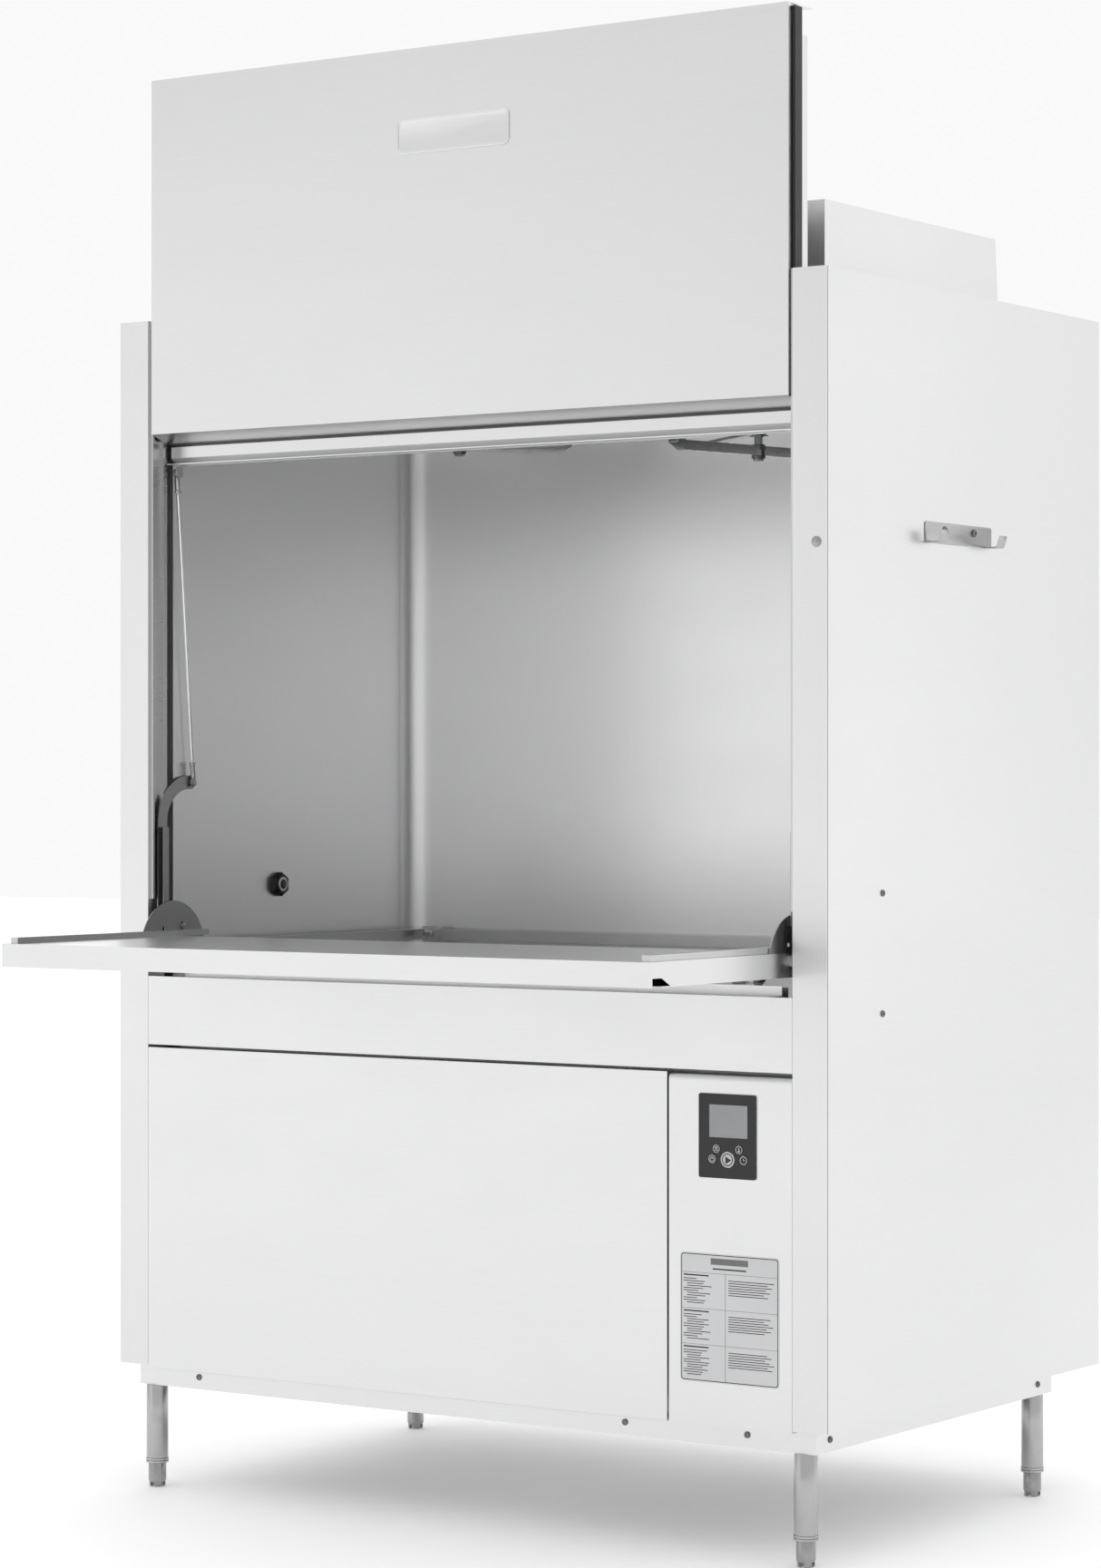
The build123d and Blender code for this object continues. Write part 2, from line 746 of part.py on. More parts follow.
with BuildPart() as upper_door_skin:
    with BuildSketch(Plane.YZ.offset(-door_half_width)):
        with BuildLine():
            Polyline((front + door_top_flange, door_top), (front, door_top), (front, door_bottom),
                     (front + door_depth - skin - gap, door_bottom - rail_top_drop))
            offset(amount=door_skin, side=Side.LEFT)
        make_face()
    extrude(amount=2 * door_half_width)
    for side in (-1, 1):
        block(mirrored(door_half_width - door_skin, door_half_width, side),
              (front + door_skin, front + door_edge),
              (door_bottom + door_skin, door_top - door_skin))
save(upper_door_skin, "upper_door_skin")

rail_top = door_bottom - rail_top_drop - door_skin - gap
rail_bottom = door_bottom - rail_bottom_drop
rail_face_bottom = door_bottom - rail_face_drop
liner_top = door_top - door_liner_drop
with BuildPart() as upper_door_liner:
    with BuildSketch(Plane.YZ.offset(-door_half_width + liner_inset)):
        with BuildLine():
            Polyline((front + door_depth, rail_bottom), (front + door_depth - rail_flare, rail_bottom),
                     (front + rail_step, rail_face_bottom), (front + rail_step, rail_top),
                     (front + door_depth, rail_top), close=True)
        make_face()
        offset(amount=-skin, mode=Mode.SUBTRACT)
    extrude(amount=2 * (door_half_width - liner_inset))
    block((-door_half_width + skin, door_half_width - skin), (front + rail_lip_front, front + door_depth),
          (rail_bottom - rail_lip, rail_bottom))
    block((-door_half_width, door_half_width), (front + door_depth - skin, front + door_depth),
          (rail_top, liner_top))
    bumper_in, bumper_low, bumper_radius, bumper_height = bumper
    for side in (-1, 1):
        block(mirrored(door_half_width - skin, door_half_width, side),
              (front + door_liner_front, front + door_depth - skin), (door_bottom, liner_top))
        block(mirrored(door_half_width - skin, cable_x + cable_lug_reach, side),
              (front + cable_lug[0], front + cable_lug[1]), (lug_z, lug_z + lug_height))
        bump = (side * (door_half_width - bumper_in), door_top - bumper_low)
        bar((bump[0], front + door_depth, bump[1]), (bump[0], front + door_depth + bumper_height, bump[1]),
            bumper_radius)
save(upper_door_liner, "upper_door_liner")

with BuildPart() as door_slide_strips:
    strip_z = (door_bottom + strip_ends[0], door_top - door_skin - strip_ends[1])
    for side in (-1, 1):
        block(mirrored(strip_inner, door_half_width - skin, side),
              (front + door_edge + strip_play, front + door_liner_front - strip_play), strip_z)
        block(mirrored(door_half_width - skin, post_inner - guide_web - gap, side),
              (front + strip_tongue[0], front + strip_tongue[1]), strip_z)
save(door_slide_strips, "door_slide_strips")

# ---- link geometry: the rod's upper pivot height makes both door limits exact ----
rod_pivot_rise = (-travel ** 2 + 2 * crank_back * travel - 2 * crank_back * rod_hanger_back
                  + 2 * crank_up * rod_hanger_back) / (2 * (crank_back + crank_up - travel))
rod_top = (hinge_y + rod_hanger_back, hinge_z + rod_pivot_rise)
rod_end = (hinge_y + crank_back, hinge_z + crank_up)
crank_face = post_inner - guide_reach - crank_play - crank_thickness
rod_x = crank_face - rod_collar_radius - gap
rod_eye = rod_eye_width / 2
bracket_x = (rod_x - rod_eye - bracket_plate[1], rod_x - rod_eye - bracket_plate[0])

with BuildPart() as rod_brackets:
    lip_bottom = rail_bottom - rail_lip
    foot_reach, foot_thickness = bracket_foot
    for side in (-1, 1):
        block(mirrored(bracket_x[0] - foot_reach, bracket_x[1], side),
              (front + rail_lip_front + rail_lip, front + door_depth), (lip_bottom - foot_thickness,
               lip_bottom))
        block(mirrored(*bracket_x, side), (rod_top[0] - bracket_radius, rod_top[0] + bracket_radius),
              (rod_top[1], lip_bottom - foot_thickness))
        bar((side * bracket_x[0], *rod_top), (side * bracket_x[1], *rod_top), bracket_radius)
        bar((side * bracket_x[1], *rod_top), (side * (rod_x + rod_eye + rod_pin_end), *rod_top),
            rod_pin_radius)
save(rod_brackets, "rod_brackets")

with BuildPart() as tie_rods:
    for side in (-1, 1):
        inner, outer = side * (rod_x - rod_eye), side * (rod_x + rod_eye)
        along = Vector(0, rod_end[0] - rod_top[0], rod_end[1] - rod_top[1]).normalized()
        upper = Vector(side * rod_x, *rod_top)
        lower = Vector(side * rod_x, *rod_end)
        bar((inner, *rod_top), (outer, *rod_top), rod_eye_radius)
        bar((inner, *rod_end), (outer, *rod_end), rod_eye_radius)
        bar((outer, *rod_end), (side * (crank_face - gap), *rod_end), rod_stud_radius)
        bar(tuple(upper + along * rod_eye_width), tuple(lower - along * rod_eye_width), rod_radius)
        for joint, sign in ((upper, 1), (lower, -1)):
            bar(tuple(joint + along * (sign * rod_thread[0])), tuple(joint + along * (sign * rod_thread[1])),
                rod_collar_radius)
        bar((side * (rod_x - rod_eye - rod_slack), *rod_top),
            (side * (rod_x + rod_eye + rod_slack), *rod_top),
            rod_pin_radius + fit, Mode.SUBTRACT)
save(tie_rods, "tie_rods")

# ======================================================================== lower door

shelf_front = front - shelf_reach
shelf_back = front + shelf_rear
notch_short, notch_full, notch_depth, notch_cut = shelf_notch
with BuildPart() as lower_door_pan:
    block((-shelf_half_width, shelf_half_width), (shelf_front, shelf_back),
          (shelf_bottom, shelf_bottom + skin))
    block((-shelf_edge_half_width, shelf_edge_half_width), (shelf_front, shelf_front + skin),
          (shelf_bottom, shelf_top))
    for side in (-1, 1):
        with BuildSketch(Plane.YZ.offset(side * shelf_half_width)):
            with BuildLine():
                Polyline((shelf_front + skin, shelf_top), (shelf_front + skin, shelf_bottom + notch_depth),
                         (shelf_front + notch_short, shelf_bottom + notch_depth),
                         (shelf_front + notch_full, shelf_bottom), (shelf_back, shelf_bottom),
                         (shelf_back, shelf_top), close=True)
            make_face()
        extrude(amount=-side * skin)
        bar((side * (shelf_half_width - plate), hinge_y, hinge_z),
            (side * (shelf_half_width + plate), hinge_y, hinge_z),
            hinge_pin_radius + fit, Mode.SUBTRACT)
        block(mirrored(shelf_half_width - notch_cut, shelf_half_width + skin, side),
              (shelf_front + skin, shelf_front + notch_short), (shelf_bottom - skin, shelf_bottom + skin),
              Mode.SUBTRACT)
save(lower_door_pan, "lower_door_pan")

cheek_inner = shelf_half_width - skin - cheek_plate
with BuildPart() as lower_door_liner:
    liner_x = cheek_inner - gap
    block((-liner_x, liner_x), (shelf_front + skin + gap, shelf_back - skin), (shelf_top - skin, shelf_top))
    block((-liner_x, liner_x), (shelf_back - skin, shelf_back), (shelf_bottom + skin, shelf_top))
    rib_y = (shelf_front + rib_ends[0], shelf_back - rib_ends[1])
    for x in rib_xs:
        block((x - rib_foot[0], x + rib_foot[0]), rib_y, (shelf_bottom + skin, shelf_bottom + rib_foot[1]))
        block((x - rib_web / 2, x + rib_web / 2), rib_y, (shelf_bottom + rib_foot[1], shelf_top - skin))
save(lower_door_liner, "lower_door_liner")

rail_outer = cheek_inner - gap
rail_inner = rail_outer - rack_rail_width
rail_y = (shelf_front + rail_front_gap, front + cheek_front + cheek_radius - rail_rear_gap)
rail_z = (shelf_top, shelf_top + rack_rail_height)
with BuildPart() as shelf_rails:
    for side in (-1, 1):
        block(mirrored(rail_inner, rail_outer, side), rail_y, rail_z)
        block(mirrored(rail_inner + skin, rail_outer - skin, side), (rail_y[0] + skin, rail_y[1] - skin),
              (rail_z[0] - skin, rail_z[1] - skin), Mode.SUBTRACT)
save(shelf_rails, "shelf_rails")

with BuildPart() as door_cheeks:
    for side in (-1, 1):
        centre = (front + cheek_front, cheek_base - cheek_drop)
        with BuildSketch(Plane.YZ.offset(side * (shelf_half_width - skin))):
            with Locations(centre):
                Circle(cheek_radius)
            with Locations((centre[0], cheek_base - cheek_radius)):
                Rectangle(4 * cheek_radius, 2 * cheek_radius, mode=Mode.SUBTRACT)
            with Locations((front + cheek_hole[0], cheek_hole[1])):
                Circle(cheek_hole[2], mode=Mode.SUBTRACT)
            with Locations((hinge_y, hinge_z)):
                Circle(hinge_pin_radius + fit, mode=Mode.SUBTRACT)
        extrude(amount=-side * cheek_plate)
        bolt_y, bolt_rise, bolt_radius, bolt_length = cheek_bolt
        bolt = (front + bolt_y, rail_z[1] + bolt_rise)
        bar((side * (cheek_inner - bolt_length), *bolt), (side * cheek_inner, *bolt), bolt_radius)
save(door_cheeks, "door_cheeks")

with BuildPart() as crank_arms:
    bend_z = hinge_z + crank_bend_start
    bend_rise = rod_end[1] - bend_z
    bend_radius = (crank_back ** 2 + bend_rise ** 2) / (2 * crank_back)
    bend_centre = (hinge_y + bend_radius, bend_z)
    end_angle = math.degrees(math.atan2(bend_rise, crank_back - bend_radius))
    for side in (-1, 1):
        with BuildSketch(Plane.YZ.offset(side * crank_face)):
            with Locations((hinge_y, (hinge_z + bend_z) / 2)):
                SlotCenterToCenter(bend_z - hinge_z, crank_width, rotation=90)
            with BuildLine(mode=Mode.PRIVATE) as bend:
                CenterArc(bend_centre, bend_radius, end_angle, 180 - end_angle)
            SlotArc(bend.line.edge(), crank_width)
            with Locations((hinge_y, hinge_z)):
                Circle(hinge_pin_radius + fit, mode=Mode.SUBTRACT)
        extrude(amount=side * crank_thickness)
        with BuildSketch(Plane.YZ.offset(side * shelf_half_width)):
            with Locations((hinge_y, hinge_z)):
                Circle(crank_boss_radius)
                Circle(hinge_pin_radius + fit, mode=Mode.SUBTRACT)
        extrude(amount=side * (crank_face - shelf_half_width))
        stiff_reach, stiff_sheet, stiff_near, stiff_far, stiff_front, stiff_rise = crank_stiffener
        stiff_z = (hinge_z + stiff_rise, bend_z - stiff_front)
        block(mirrored(crank_face - stiff_reach, crank_face, side),
              (hinge_y + stiff_near, hinge_y + stiff_far),
              stiff_z)
        block(mirrored(crank_face - stiff_reach, crank_face - stiff_reach + stiff_sheet, side),
              (hinge_y - stiff_front, hinge_y + stiff_far), stiff_z)
save(crank_arms, "crank_arms")

with BuildPart() as hinge_pins:
    for side in (-1, 1):
        seat_x = side * (post_inner + skin)
        bar((side * (cheek_inner - pin_reach), hinge_y, hinge_z), (seat_x, hinge_y, hinge_z),
            hinge_pin_radius)
        bar((seat_x, hinge_y, hinge_z), (seat_x + side * pin_head[1], hinge_y, hinge_z), pin_head[0])
save(hinge_pins, "hinge_pins")

# ======================================================================== counterbalance


def pulley_pair(shaft_y):
    """Two grooved pulleys on one cross shaft."""
    with BuildPart() as pair:
        shaft_end = cable_x + shaft_overhang
        rim, rim_width = pulley_rim
        groove = pulley_groove - cable_radius - strip_play
        bar((-shaft_end, shaft_y, pulley_z), (shaft_end, shaft_y, pulley_z), pulley_shaft_radius)
        for x in (-cable_x, cable_x):
            edges = (x - pulley_width / 2, x + pulley_width / 2)
            bar((edges[0], shaft_y, pulley_z), (edges[1], shaft_y, pulley_z), groove)
            for low in (edges[0], edges[1] - rim_width):
                bar((low, shaft_y, pulley_z), (low + rim_width, shaft_y, pulley_z), groove + rim)
    return pair


save(pulley_pair(front_pulley_y), "front_pulleys")
save(pulley_pair(rear_pulley_y), "rear_pulleys")

with BuildPart() as pulley_bearings:
    for side in (-1, 1):
        for shaft_y in (front_pulley_y, rear_pulley_y):
            block(mirrored(cable_x + bearing_inset, half - skin, side),
                  (shaft_y - bearing_half[0], shaft_y + bearing_half[0]),
                  (pulley_z - bearing_half[1], pulley_z + bearing_half[1]))
            bar((side * cable_x, shaft_y, pulley_z),
                (side * (cable_x + shaft_overhang + bearing_end), shaft_y, pulley_z),
                pulley_shaft_radius + fit, Mode.SUBTRACT)
save(pulley_bearings, "pulley_bearings")

weight_top = counterweight_bottom + counterweight_height
weight_y = rear_pulley_y + pulley_groove
with BuildPart() as counterweight:
    block((-cable_x - weight_clearance, cable_x + weight_clearance),
          (weight_y - counterweight_depth / 2, weight_y + counterweight_depth / 2),
          (counterweight_bottom, weight_top))
    lug_radius, lug_rise = counterweight_lug
    for x in (-cable_x, cable_x):
        bar((x, weight_y, weight_top), (x, weight_y, weight_top + lug_rise), lug_radius)
save(counterweight, "counterweight")

cable_wall = cable_radius / 2
cable_front = front_pulley_y - pulley_groove
with BuildPart() as counterbalance_cables:
    for x in (-cable_x, cable_x):
        tube_run(((x, cable_front, cable_run_top), (x, cable_front, pulley_z + pulley_groove),
                  (x, weight_y, pulley_z + pulley_groove), (x, weight_y, cable_run_top)),
                 cable_radius, cable_wall, pulley_groove - strip_play)
save(counterbalance_cables, "counterbalance_cables")

with BuildPart() as door_cable_runs:
    for x in (-cable_x, cable_x):
        bar((x, cable_front, lug_z + lug_height), (x, cable_front, cable_run_top), cable_radius)
save(door_cable_runs, "door_cable_runs")

with BuildPart() as weight_cable_runs:
    for x in (-cable_x, cable_x):
        bar((x, weight_y, weight_top + lug_rise), (x, weight_y, cable_run_top), cable_radius)
save(weight_cable_runs, "weight_cable_runs")

# ======================================================================== spray arms


def wash_arm(hub, height, heading, up):
    """A square-tube arm with bent-up tips, turning on its hub."""
    sign = 1 if up else -1
    tube_half = arm_tube_height / 2
    with BuildPart() as arm:
        level = Plane(origin=(hub, hub_y, height), x_dir=(math.cos(heading), math.sin(heading), 0),
                      z_dir=(0, 0, 1))
        with BuildSketch(level.offset(-tube_half)):
            Rectangle(2 * arm_reach, arm_tube)
        extrude(amount=arm_tube_height)
        with BuildSketch(level.offset(-tube_half + arm_wall)):
            Rectangle(2 * (arm_reach - arm_wall), arm_tube - 2 * arm_wall)
        extrude(amount=arm_tube_height - 2 * arm_wall, mode=Mode.SUBTRACT)
        upright = Plane(origin=(hub, hub_y, height), x_dir=level.x_dir,
                        z_dir=level.x_dir.cross(Vector(0, 0, 1)))
        for end in (-1, 1):
            with BuildSketch(upright.offset(-arm_tube / 2)):
                with BuildLine():
                    Polyline((end * (arm_reach - arm_wall), -tube_half), (end * arm_reach, -tube_half),
                             (end * (arm_reach + arm_tip), arm_tip_rise - tube_half),
                             (end * (arm_reach + arm_tip - tube_half), arm_tip_rise + tube_half / 2),
                             (end * (arm_reach - arm_wall), tube_half), close=True)
                make_face()
            extrude(amount=arm_tube)
        with BuildSketch(level.offset(-sign * (tube_half + arm_wall))):
            for spot in arm_slots:
                with Locations((spot, 0)):
                    SlotOverall(*arm_slot_size, rotation=90 if spot > 0 else 60)
        extrude(amount=sign * (2 * arm_wall + gap), mode=Mode.SUBTRACT)
        with BuildSketch(level.offset(-hub_below)):
            Circle(hub_radius)
        extrude(amount=hub_height)
        with BuildSketch(level.offset(-hub_below - arm_wall)):
            Circle(spindle_radius + fit)
        extrude(amount=hub_height + 2 * arm_wall, mode=Mode.SUBTRACT)
    return arm


def rinse_arm(hub, height, heading):
    """A flat final-rinse arm above the wash arm, on the same spindle."""
    with BuildPart() as arm:
        level = Plane(origin=(hub, hub_y, height), x_dir=(math.cos(heading), math.sin(heading), 0),
                      z_dir=(0, 0, 1))
        with BuildSketch(level.offset(-rinse_arm_height / 2)):
            SlotOverall(2 * rinse_arm_reach, rinse_arm_width)
            for spot in rinse_holes:
                with Locations((spot, 0)):
                    SlotOverall(*rinse_hole_size, mode=Mode.SUBTRACT)
        extrude(amount=rinse_arm_height)
        with BuildSketch(level.offset(-rinse_hub_height / 2)):
            Circle(rinse_hub_radius)
        extrude(amount=rinse_hub_height)
        with BuildSketch(level.offset(-rinse_hub_height)):
            Circle(spindle_radius + fit)
        extrude(amount=2 * rinse_hub_height, mode=Mode.SUBTRACT)
    return arm


for side_name, sign in (("left", -1), ("right", 1)):
    turn = arm_headings[side_name]
    upper_z = upper_arm_z[side_name]
    lower_z = lower_arm_z[side_name]
    save(wash_arm(sign * hub_x, upper_z, math.radians(turn), True), f"upper_wash_arm_{side_name}")
    save(wash_arm(sign * hub_x, lower_z, math.radians(turn + lower_arm_turn), False),
         f"lower_wash_arm_{side_name}")
    save(rinse_arm(sign * hub_x, upper_z + rinse_arm_rise, math.radians(turn + rinse_arm_turn)),
         f"upper_rinse_arm_{side_name}")

# ======================================================================== machine compartment

outlet_x = pump_x - pump_outlet[0]
outlet_top = pump_z + pump_outlet[2]
with BuildPart() as wash_pump:
    bar((pump_x, pump_y - pump_half_depth, pump_z), (pump_x, pump_y + pump_half_depth, pump_z), pump_radius)
    bar((pump_x, pump_y - pump_inlet[1], pump_z), (pump_x, pump_y - pump_half_depth, pump_z), pump_inlet[0])
    bar((outlet_x, pump_y, pump_z), (outlet_x, pump_y, outlet_top), pump_outlet[1])
    block((pump_x - pump_seat[0], pump_x + pump_seat[0]), (pump_y - pump_seat[1], pump_y + pump_seat[1]),
          (base_top, pump_z - seat_drop))
save(wash_pump, "wash_pump")

with BuildPart() as pump_motor:
    motor_y = (pump_y + pump_half_depth, pump_y + pump_half_depth + motor_length)
    bar((pump_x, motor_y[0], pump_z), (pump_x, motor_y[1], pump_z), motor_radius)
    block((pump_x - motor_seat[0], pump_x + motor_seat[0]),
          (motor_y[0] + motor_seat[1], motor_y[1] - motor_seat[2]), (base_top, pump_z - seat_drop))
    block((pump_x + terminal_x[0], pump_x + terminal_x[1]),
          (motor_y[0] + terminal_y[0], motor_y[0] + terminal_y[1]), (pump_z + terminal_z[0],
           pump_z + terminal_z[1]))
save(pump_motor, "pump_motor")

with BuildPart() as pump_riser:
    tube_run(((outlet_x, pump_y, outlet_top), (outlet_x, pump_y, pipe_run_z), (riser_x, pump_y, pipe_run_z),
              (riser_x, pipe_break_y, pipe_run_z)), pipe_outer, pipe_wall, pipe_bend)
with BuildPart() as main_riser:
    tube_run(((riser_x, pipe_break_y, pipe_run_z), (riser_x, riser_y, pipe_run_z),
              (riser_x, riser_y, manifold_upper_z), (riser_x, hub_y + pipe_outer - pipe_wall,
               manifold_upper_z)),
             pipe_outer, pipe_wall, pipe_bend)
    manifold_x = hub_x + spindle_cap_radius
    bar((-manifold_x, hub_y, manifold_upper_z), (manifold_x, hub_y, manifold_upper_z), manifold_radius)
    bar((-manifold_x + pipe_wall, hub_y, manifold_upper_z),
        (manifold_x - pipe_wall, hub_y, manifold_upper_z),
        manifold_radius - pipe_wall, Mode.SUBTRACT)
    for side_name, sign in (("left", -1), ("right", 1)):
        x = sign * hub_x
        low = upper_arm_z[side_name] - hub_below
        collar = upper_arm_z[side_name] + rinse_arm_rise - rinse_hub_height / 2 - gap
        bar((x, hub_y, low - spindle_cap_height), (x, hub_y, manifold_upper_z - manifold_radius + pipe_wall),
            spindle_radius)
        bar((x, hub_y, low - spindle_cap_height), (x, hub_y, low - gap), spindle_cap_radius)
        bar((x, hub_y, collar - spindle_foot_height), (x, hub_y, collar), spindle_foot_radius)
with BuildPart() as tank_feed:
    branch = tank_feed_radius - pipe_wall
    bar((-manifold_x, hub_y, tank_feed_z), (manifold_x, hub_y, tank_feed_z), tank_feed_radius)
    bar((riser_x, hub_y, tank_feed_z), (riser_x, riser_y - pipe_outer, tank_feed_z), branch)
    bar((-manifold_x + pipe_wall, hub_y, tank_feed_z), (manifold_x - pipe_wall, hub_y, tank_feed_z),
        branch, Mode.SUBTRACT)
    bar((riser_x, hub_y, tank_feed_z), (riser_x, riser_y - pipe_outer, tank_feed_z), branch - pipe_wall,
        Mode.SUBTRACT)
    for side_name, sign in (("left", -1), ("right", 1)):
        x = sign * hub_x
        low = lower_arm_z[side_name] - hub_below
        high = low + hub_height
        bar((x, hub_y, tank_feed_z + tank_feed_radius - pipe_wall), (x, hub_y, high + spindle_cap_height),
            spindle_radius)
        bar((x, hub_y, high + gap), (x, hub_y, high + spindle_cap_height), spindle_cap_radius)
        bar((x, hub_y, low - spindle_foot_height), (x, hub_y, low - gap), spindle_foot_radius)
save_set((pump_riser, main_riser, tank_feed), "wash_piping")

with BuildPart() as booster_shell:
    shell_x = (booster_x - booster_half_length, booster_x + booster_half_length)
    bar((shell_x[0], mid_y, booster_z), (shell_x[1], mid_y, booster_z), booster_radius)
    bar((shell_x[0] + booster_wall, mid_y, booster_z), (shell_x[1] - booster_wall, mid_y, booster_z),
        booster_radius - booster_wall, Mode.SUBTRACT)
with BuildPart() as booster_feet:
    for x in (booster_x - booster_foot_offset, booster_x + booster_foot_offset):
        block((x - booster_foot[0], x + booster_foot[0]), (mid_y - booster_foot[1], mid_y + booster_foot[1]),
              (base_top, booster_z - seat_drop))
    bar((shell_x[0], mid_y, booster_z), (shell_x[1], mid_y, booster_z), booster_radius, Mode.SUBTRACT)
save_set((booster_shell, booster_feet), "booster_tank")

inlet_turn_x = booster_x - booster_foot_offset / 2
rinse_turn_x = booster_x + booster_foot_offset / 2
rinse_manifold_z = manifold_upper_z + rinse_rise
with BuildPart() as rinse_piping:
    tube_run(((inlet_x, inlet_y, base_bottom - inlet_drop), (inlet_x, inlet_y, booster_z),
              (inlet_turn_x, inlet_y, booster_z), (inlet_turn_x, mid_y + booster_radius, booster_z)),
             inlet_radius, pipe_wall, rinse_bend)
    tube_run(((rinse_turn_x, mid_y + booster_radius, booster_z), (rinse_turn_x, rinse_rise_y, booster_z),
              (rinse_turn_x, rinse_rise_y, rinse_manifold_z),
              (rinse_turn_x, hub_y - rinse_setback + rinse_radius, rinse_manifold_z)),
             rinse_radius, rinse_wall, rinse_bend)
    bar((-hub_x, hub_y - rinse_setback, rinse_manifold_z), (hub_x, hub_y - rinse_setback, rinse_manifold_z),
        rinse_radius + rinse_wall)
save(rinse_piping, "rinse_piping")

with BuildPart() as tank_heater:
    heater_y = (tank_wall_front + heater_margin, tank_wall_back - heater_margin)
    first, middle, last = heater_runs
    tube_run(((first, heater_y[0], heater_z), (first, heater_y[1], heater_z),
              (middle, heater_y[1], heater_z),
              (middle, heater_y[0], heater_z), (last, heater_y[0], heater_z), (last, heater_y[1], heater_z)),
             heater_radius, heater_wall, heater_bend)
    bar((first, tank_wall_front + skin, heater_z), (first, heater_y[0], heater_z), heater_radius)
    bar((first, tank_wall_front + skin, heater_z),
        (first, tank_wall_front + skin + heater_flange[1], heater_z),
        heater_flange[0])
save(tank_heater, "tank_heater")

with BuildPart() as drain_assembly:
    drain_low = base_bottom - drain_drop
    drain_mid = drain_low + drain_length
    with BuildSketch(Plane.XY.offset(drain_low)):
        with Locations((tank_sump_x, drain_y)):
            Circle(drain_radius)
            Circle(drain_radius - drain_wall, mode=Mode.SUBTRACT)
    extrude(amount=drain_length)
    with BuildSketch(Plane.XY.offset(drain_mid)):
        with Locations((tank_sump_x, drain_y)):
            Circle(drain_radius - drain_step)
            Circle(drain_radius - 2 * drain_step, mode=Mode.SUBTRACT)
    extrude(amount=tank_floor_low - drain_mid)
    with BuildSketch(Plane.XY.offset(drain_mid - drain_step)):
        with Locations((tank_sump_x, drain_y)):
            Circle(drain_radius)
            Circle(drain_radius - 2 * drain_step, mode=Mode.SUBTRACT)
    extrude(amount=drain_step)
save(drain_assembly, "drain_assembly")

with BuildPart() as box_tray:
    box_x = (cover_x[0] + box_margin, cover_x[1] - box_margin)
    box_y = (front + box_span[0], front + box_span[1])
    box_z = (panel_bottom + box_rise, tank_floor_low - box_drop)
    mount_y = box_y[1] - skin
    block(box_x, (mount_y, box_y[1]), box_z)
    for low in (box_x[0], box_x[1] - skin):
        block((low, low + skin), (box_y[0], mount_y), box_z)
with BuildPart() as contactors:
    for row in range(3):
        low_z = box_z[0] + contactor_start[1] + row * contactor_pitch[1]
        for column in range(3):
            low_x = box_x[0] + contactor_start[0] + column * contactor_pitch[0]
            block((low_x, low_x + contactor[0]), (mount_y - contactor[1], mount_y),
                  (low_z, low_z + contactor[2]))
save_set((box_tray, contactors), "control_box")

# ======================================================================== fittings and screws

with BuildPart() as hook_bracket:
    plate_x = half + hook_plate
    hook_x = half + hook_reach
    block((half, plate_x), hook_y, hook_z)
    for low in (hook_y[0], hook_y[1] - hook_width):
        with BuildSketch(Plane.XZ.offset(-low)):
            with BuildLine():
                Polyline((plate_x, hook_z[0]), (plate_x, hook_z[0] + hook_plate),
                         (hook_x - hook_lean - hook_plate, hook_z[0] + hook_plate),
                         (hook_x - hook_plate, hook_z[0] + hook_rise), (hook_x, hook_z[0] + hook_rise),
                         (hook_x - hook_lean, hook_z[0]), close=True)
            make_face()
        extrude(amount=-hook_width)
    head_radius, head_height, head_rise = hook_screw
    for y in hook_screws:
        bar((plate_x, y, hook_z[0] + head_rise), (plate_x + head_height, y, hook_z[0] + head_rise),
            head_radius)
save(hook_bracket, "hook_bracket")

with BuildPart() as cabinet_screws:
    base_side_z = base_bottom + base_screw_rise[0]
    base_front_z = base_bottom + base_screw_rise[1]
    for side in (-1, 1):
        for z in side_screw_z:
            bar((side * half, side_screw_y, z), (side * (half + screw_head), side_screw_y, z), screw_radius)
        for y in base_side_screw_y:
            bar((side * base_x, y, base_side_z), (side * (base_x + screw_head), y, base_side_z),
                screw_radius)
    for x in base_front_screw_x:
        bar((x, base_y[0] - screw_head, base_front_z), (x, base_y[0], base_front_z), screw_radius)
    fillet(cabinet_screws.edges().filter_by(GeomType.CIRCLE), screw_edge)
save(cabinet_screws, "cabinet_screws")
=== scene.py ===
import json
import math

import bmesh
import bpy
from mathutils import Matrix, Vector


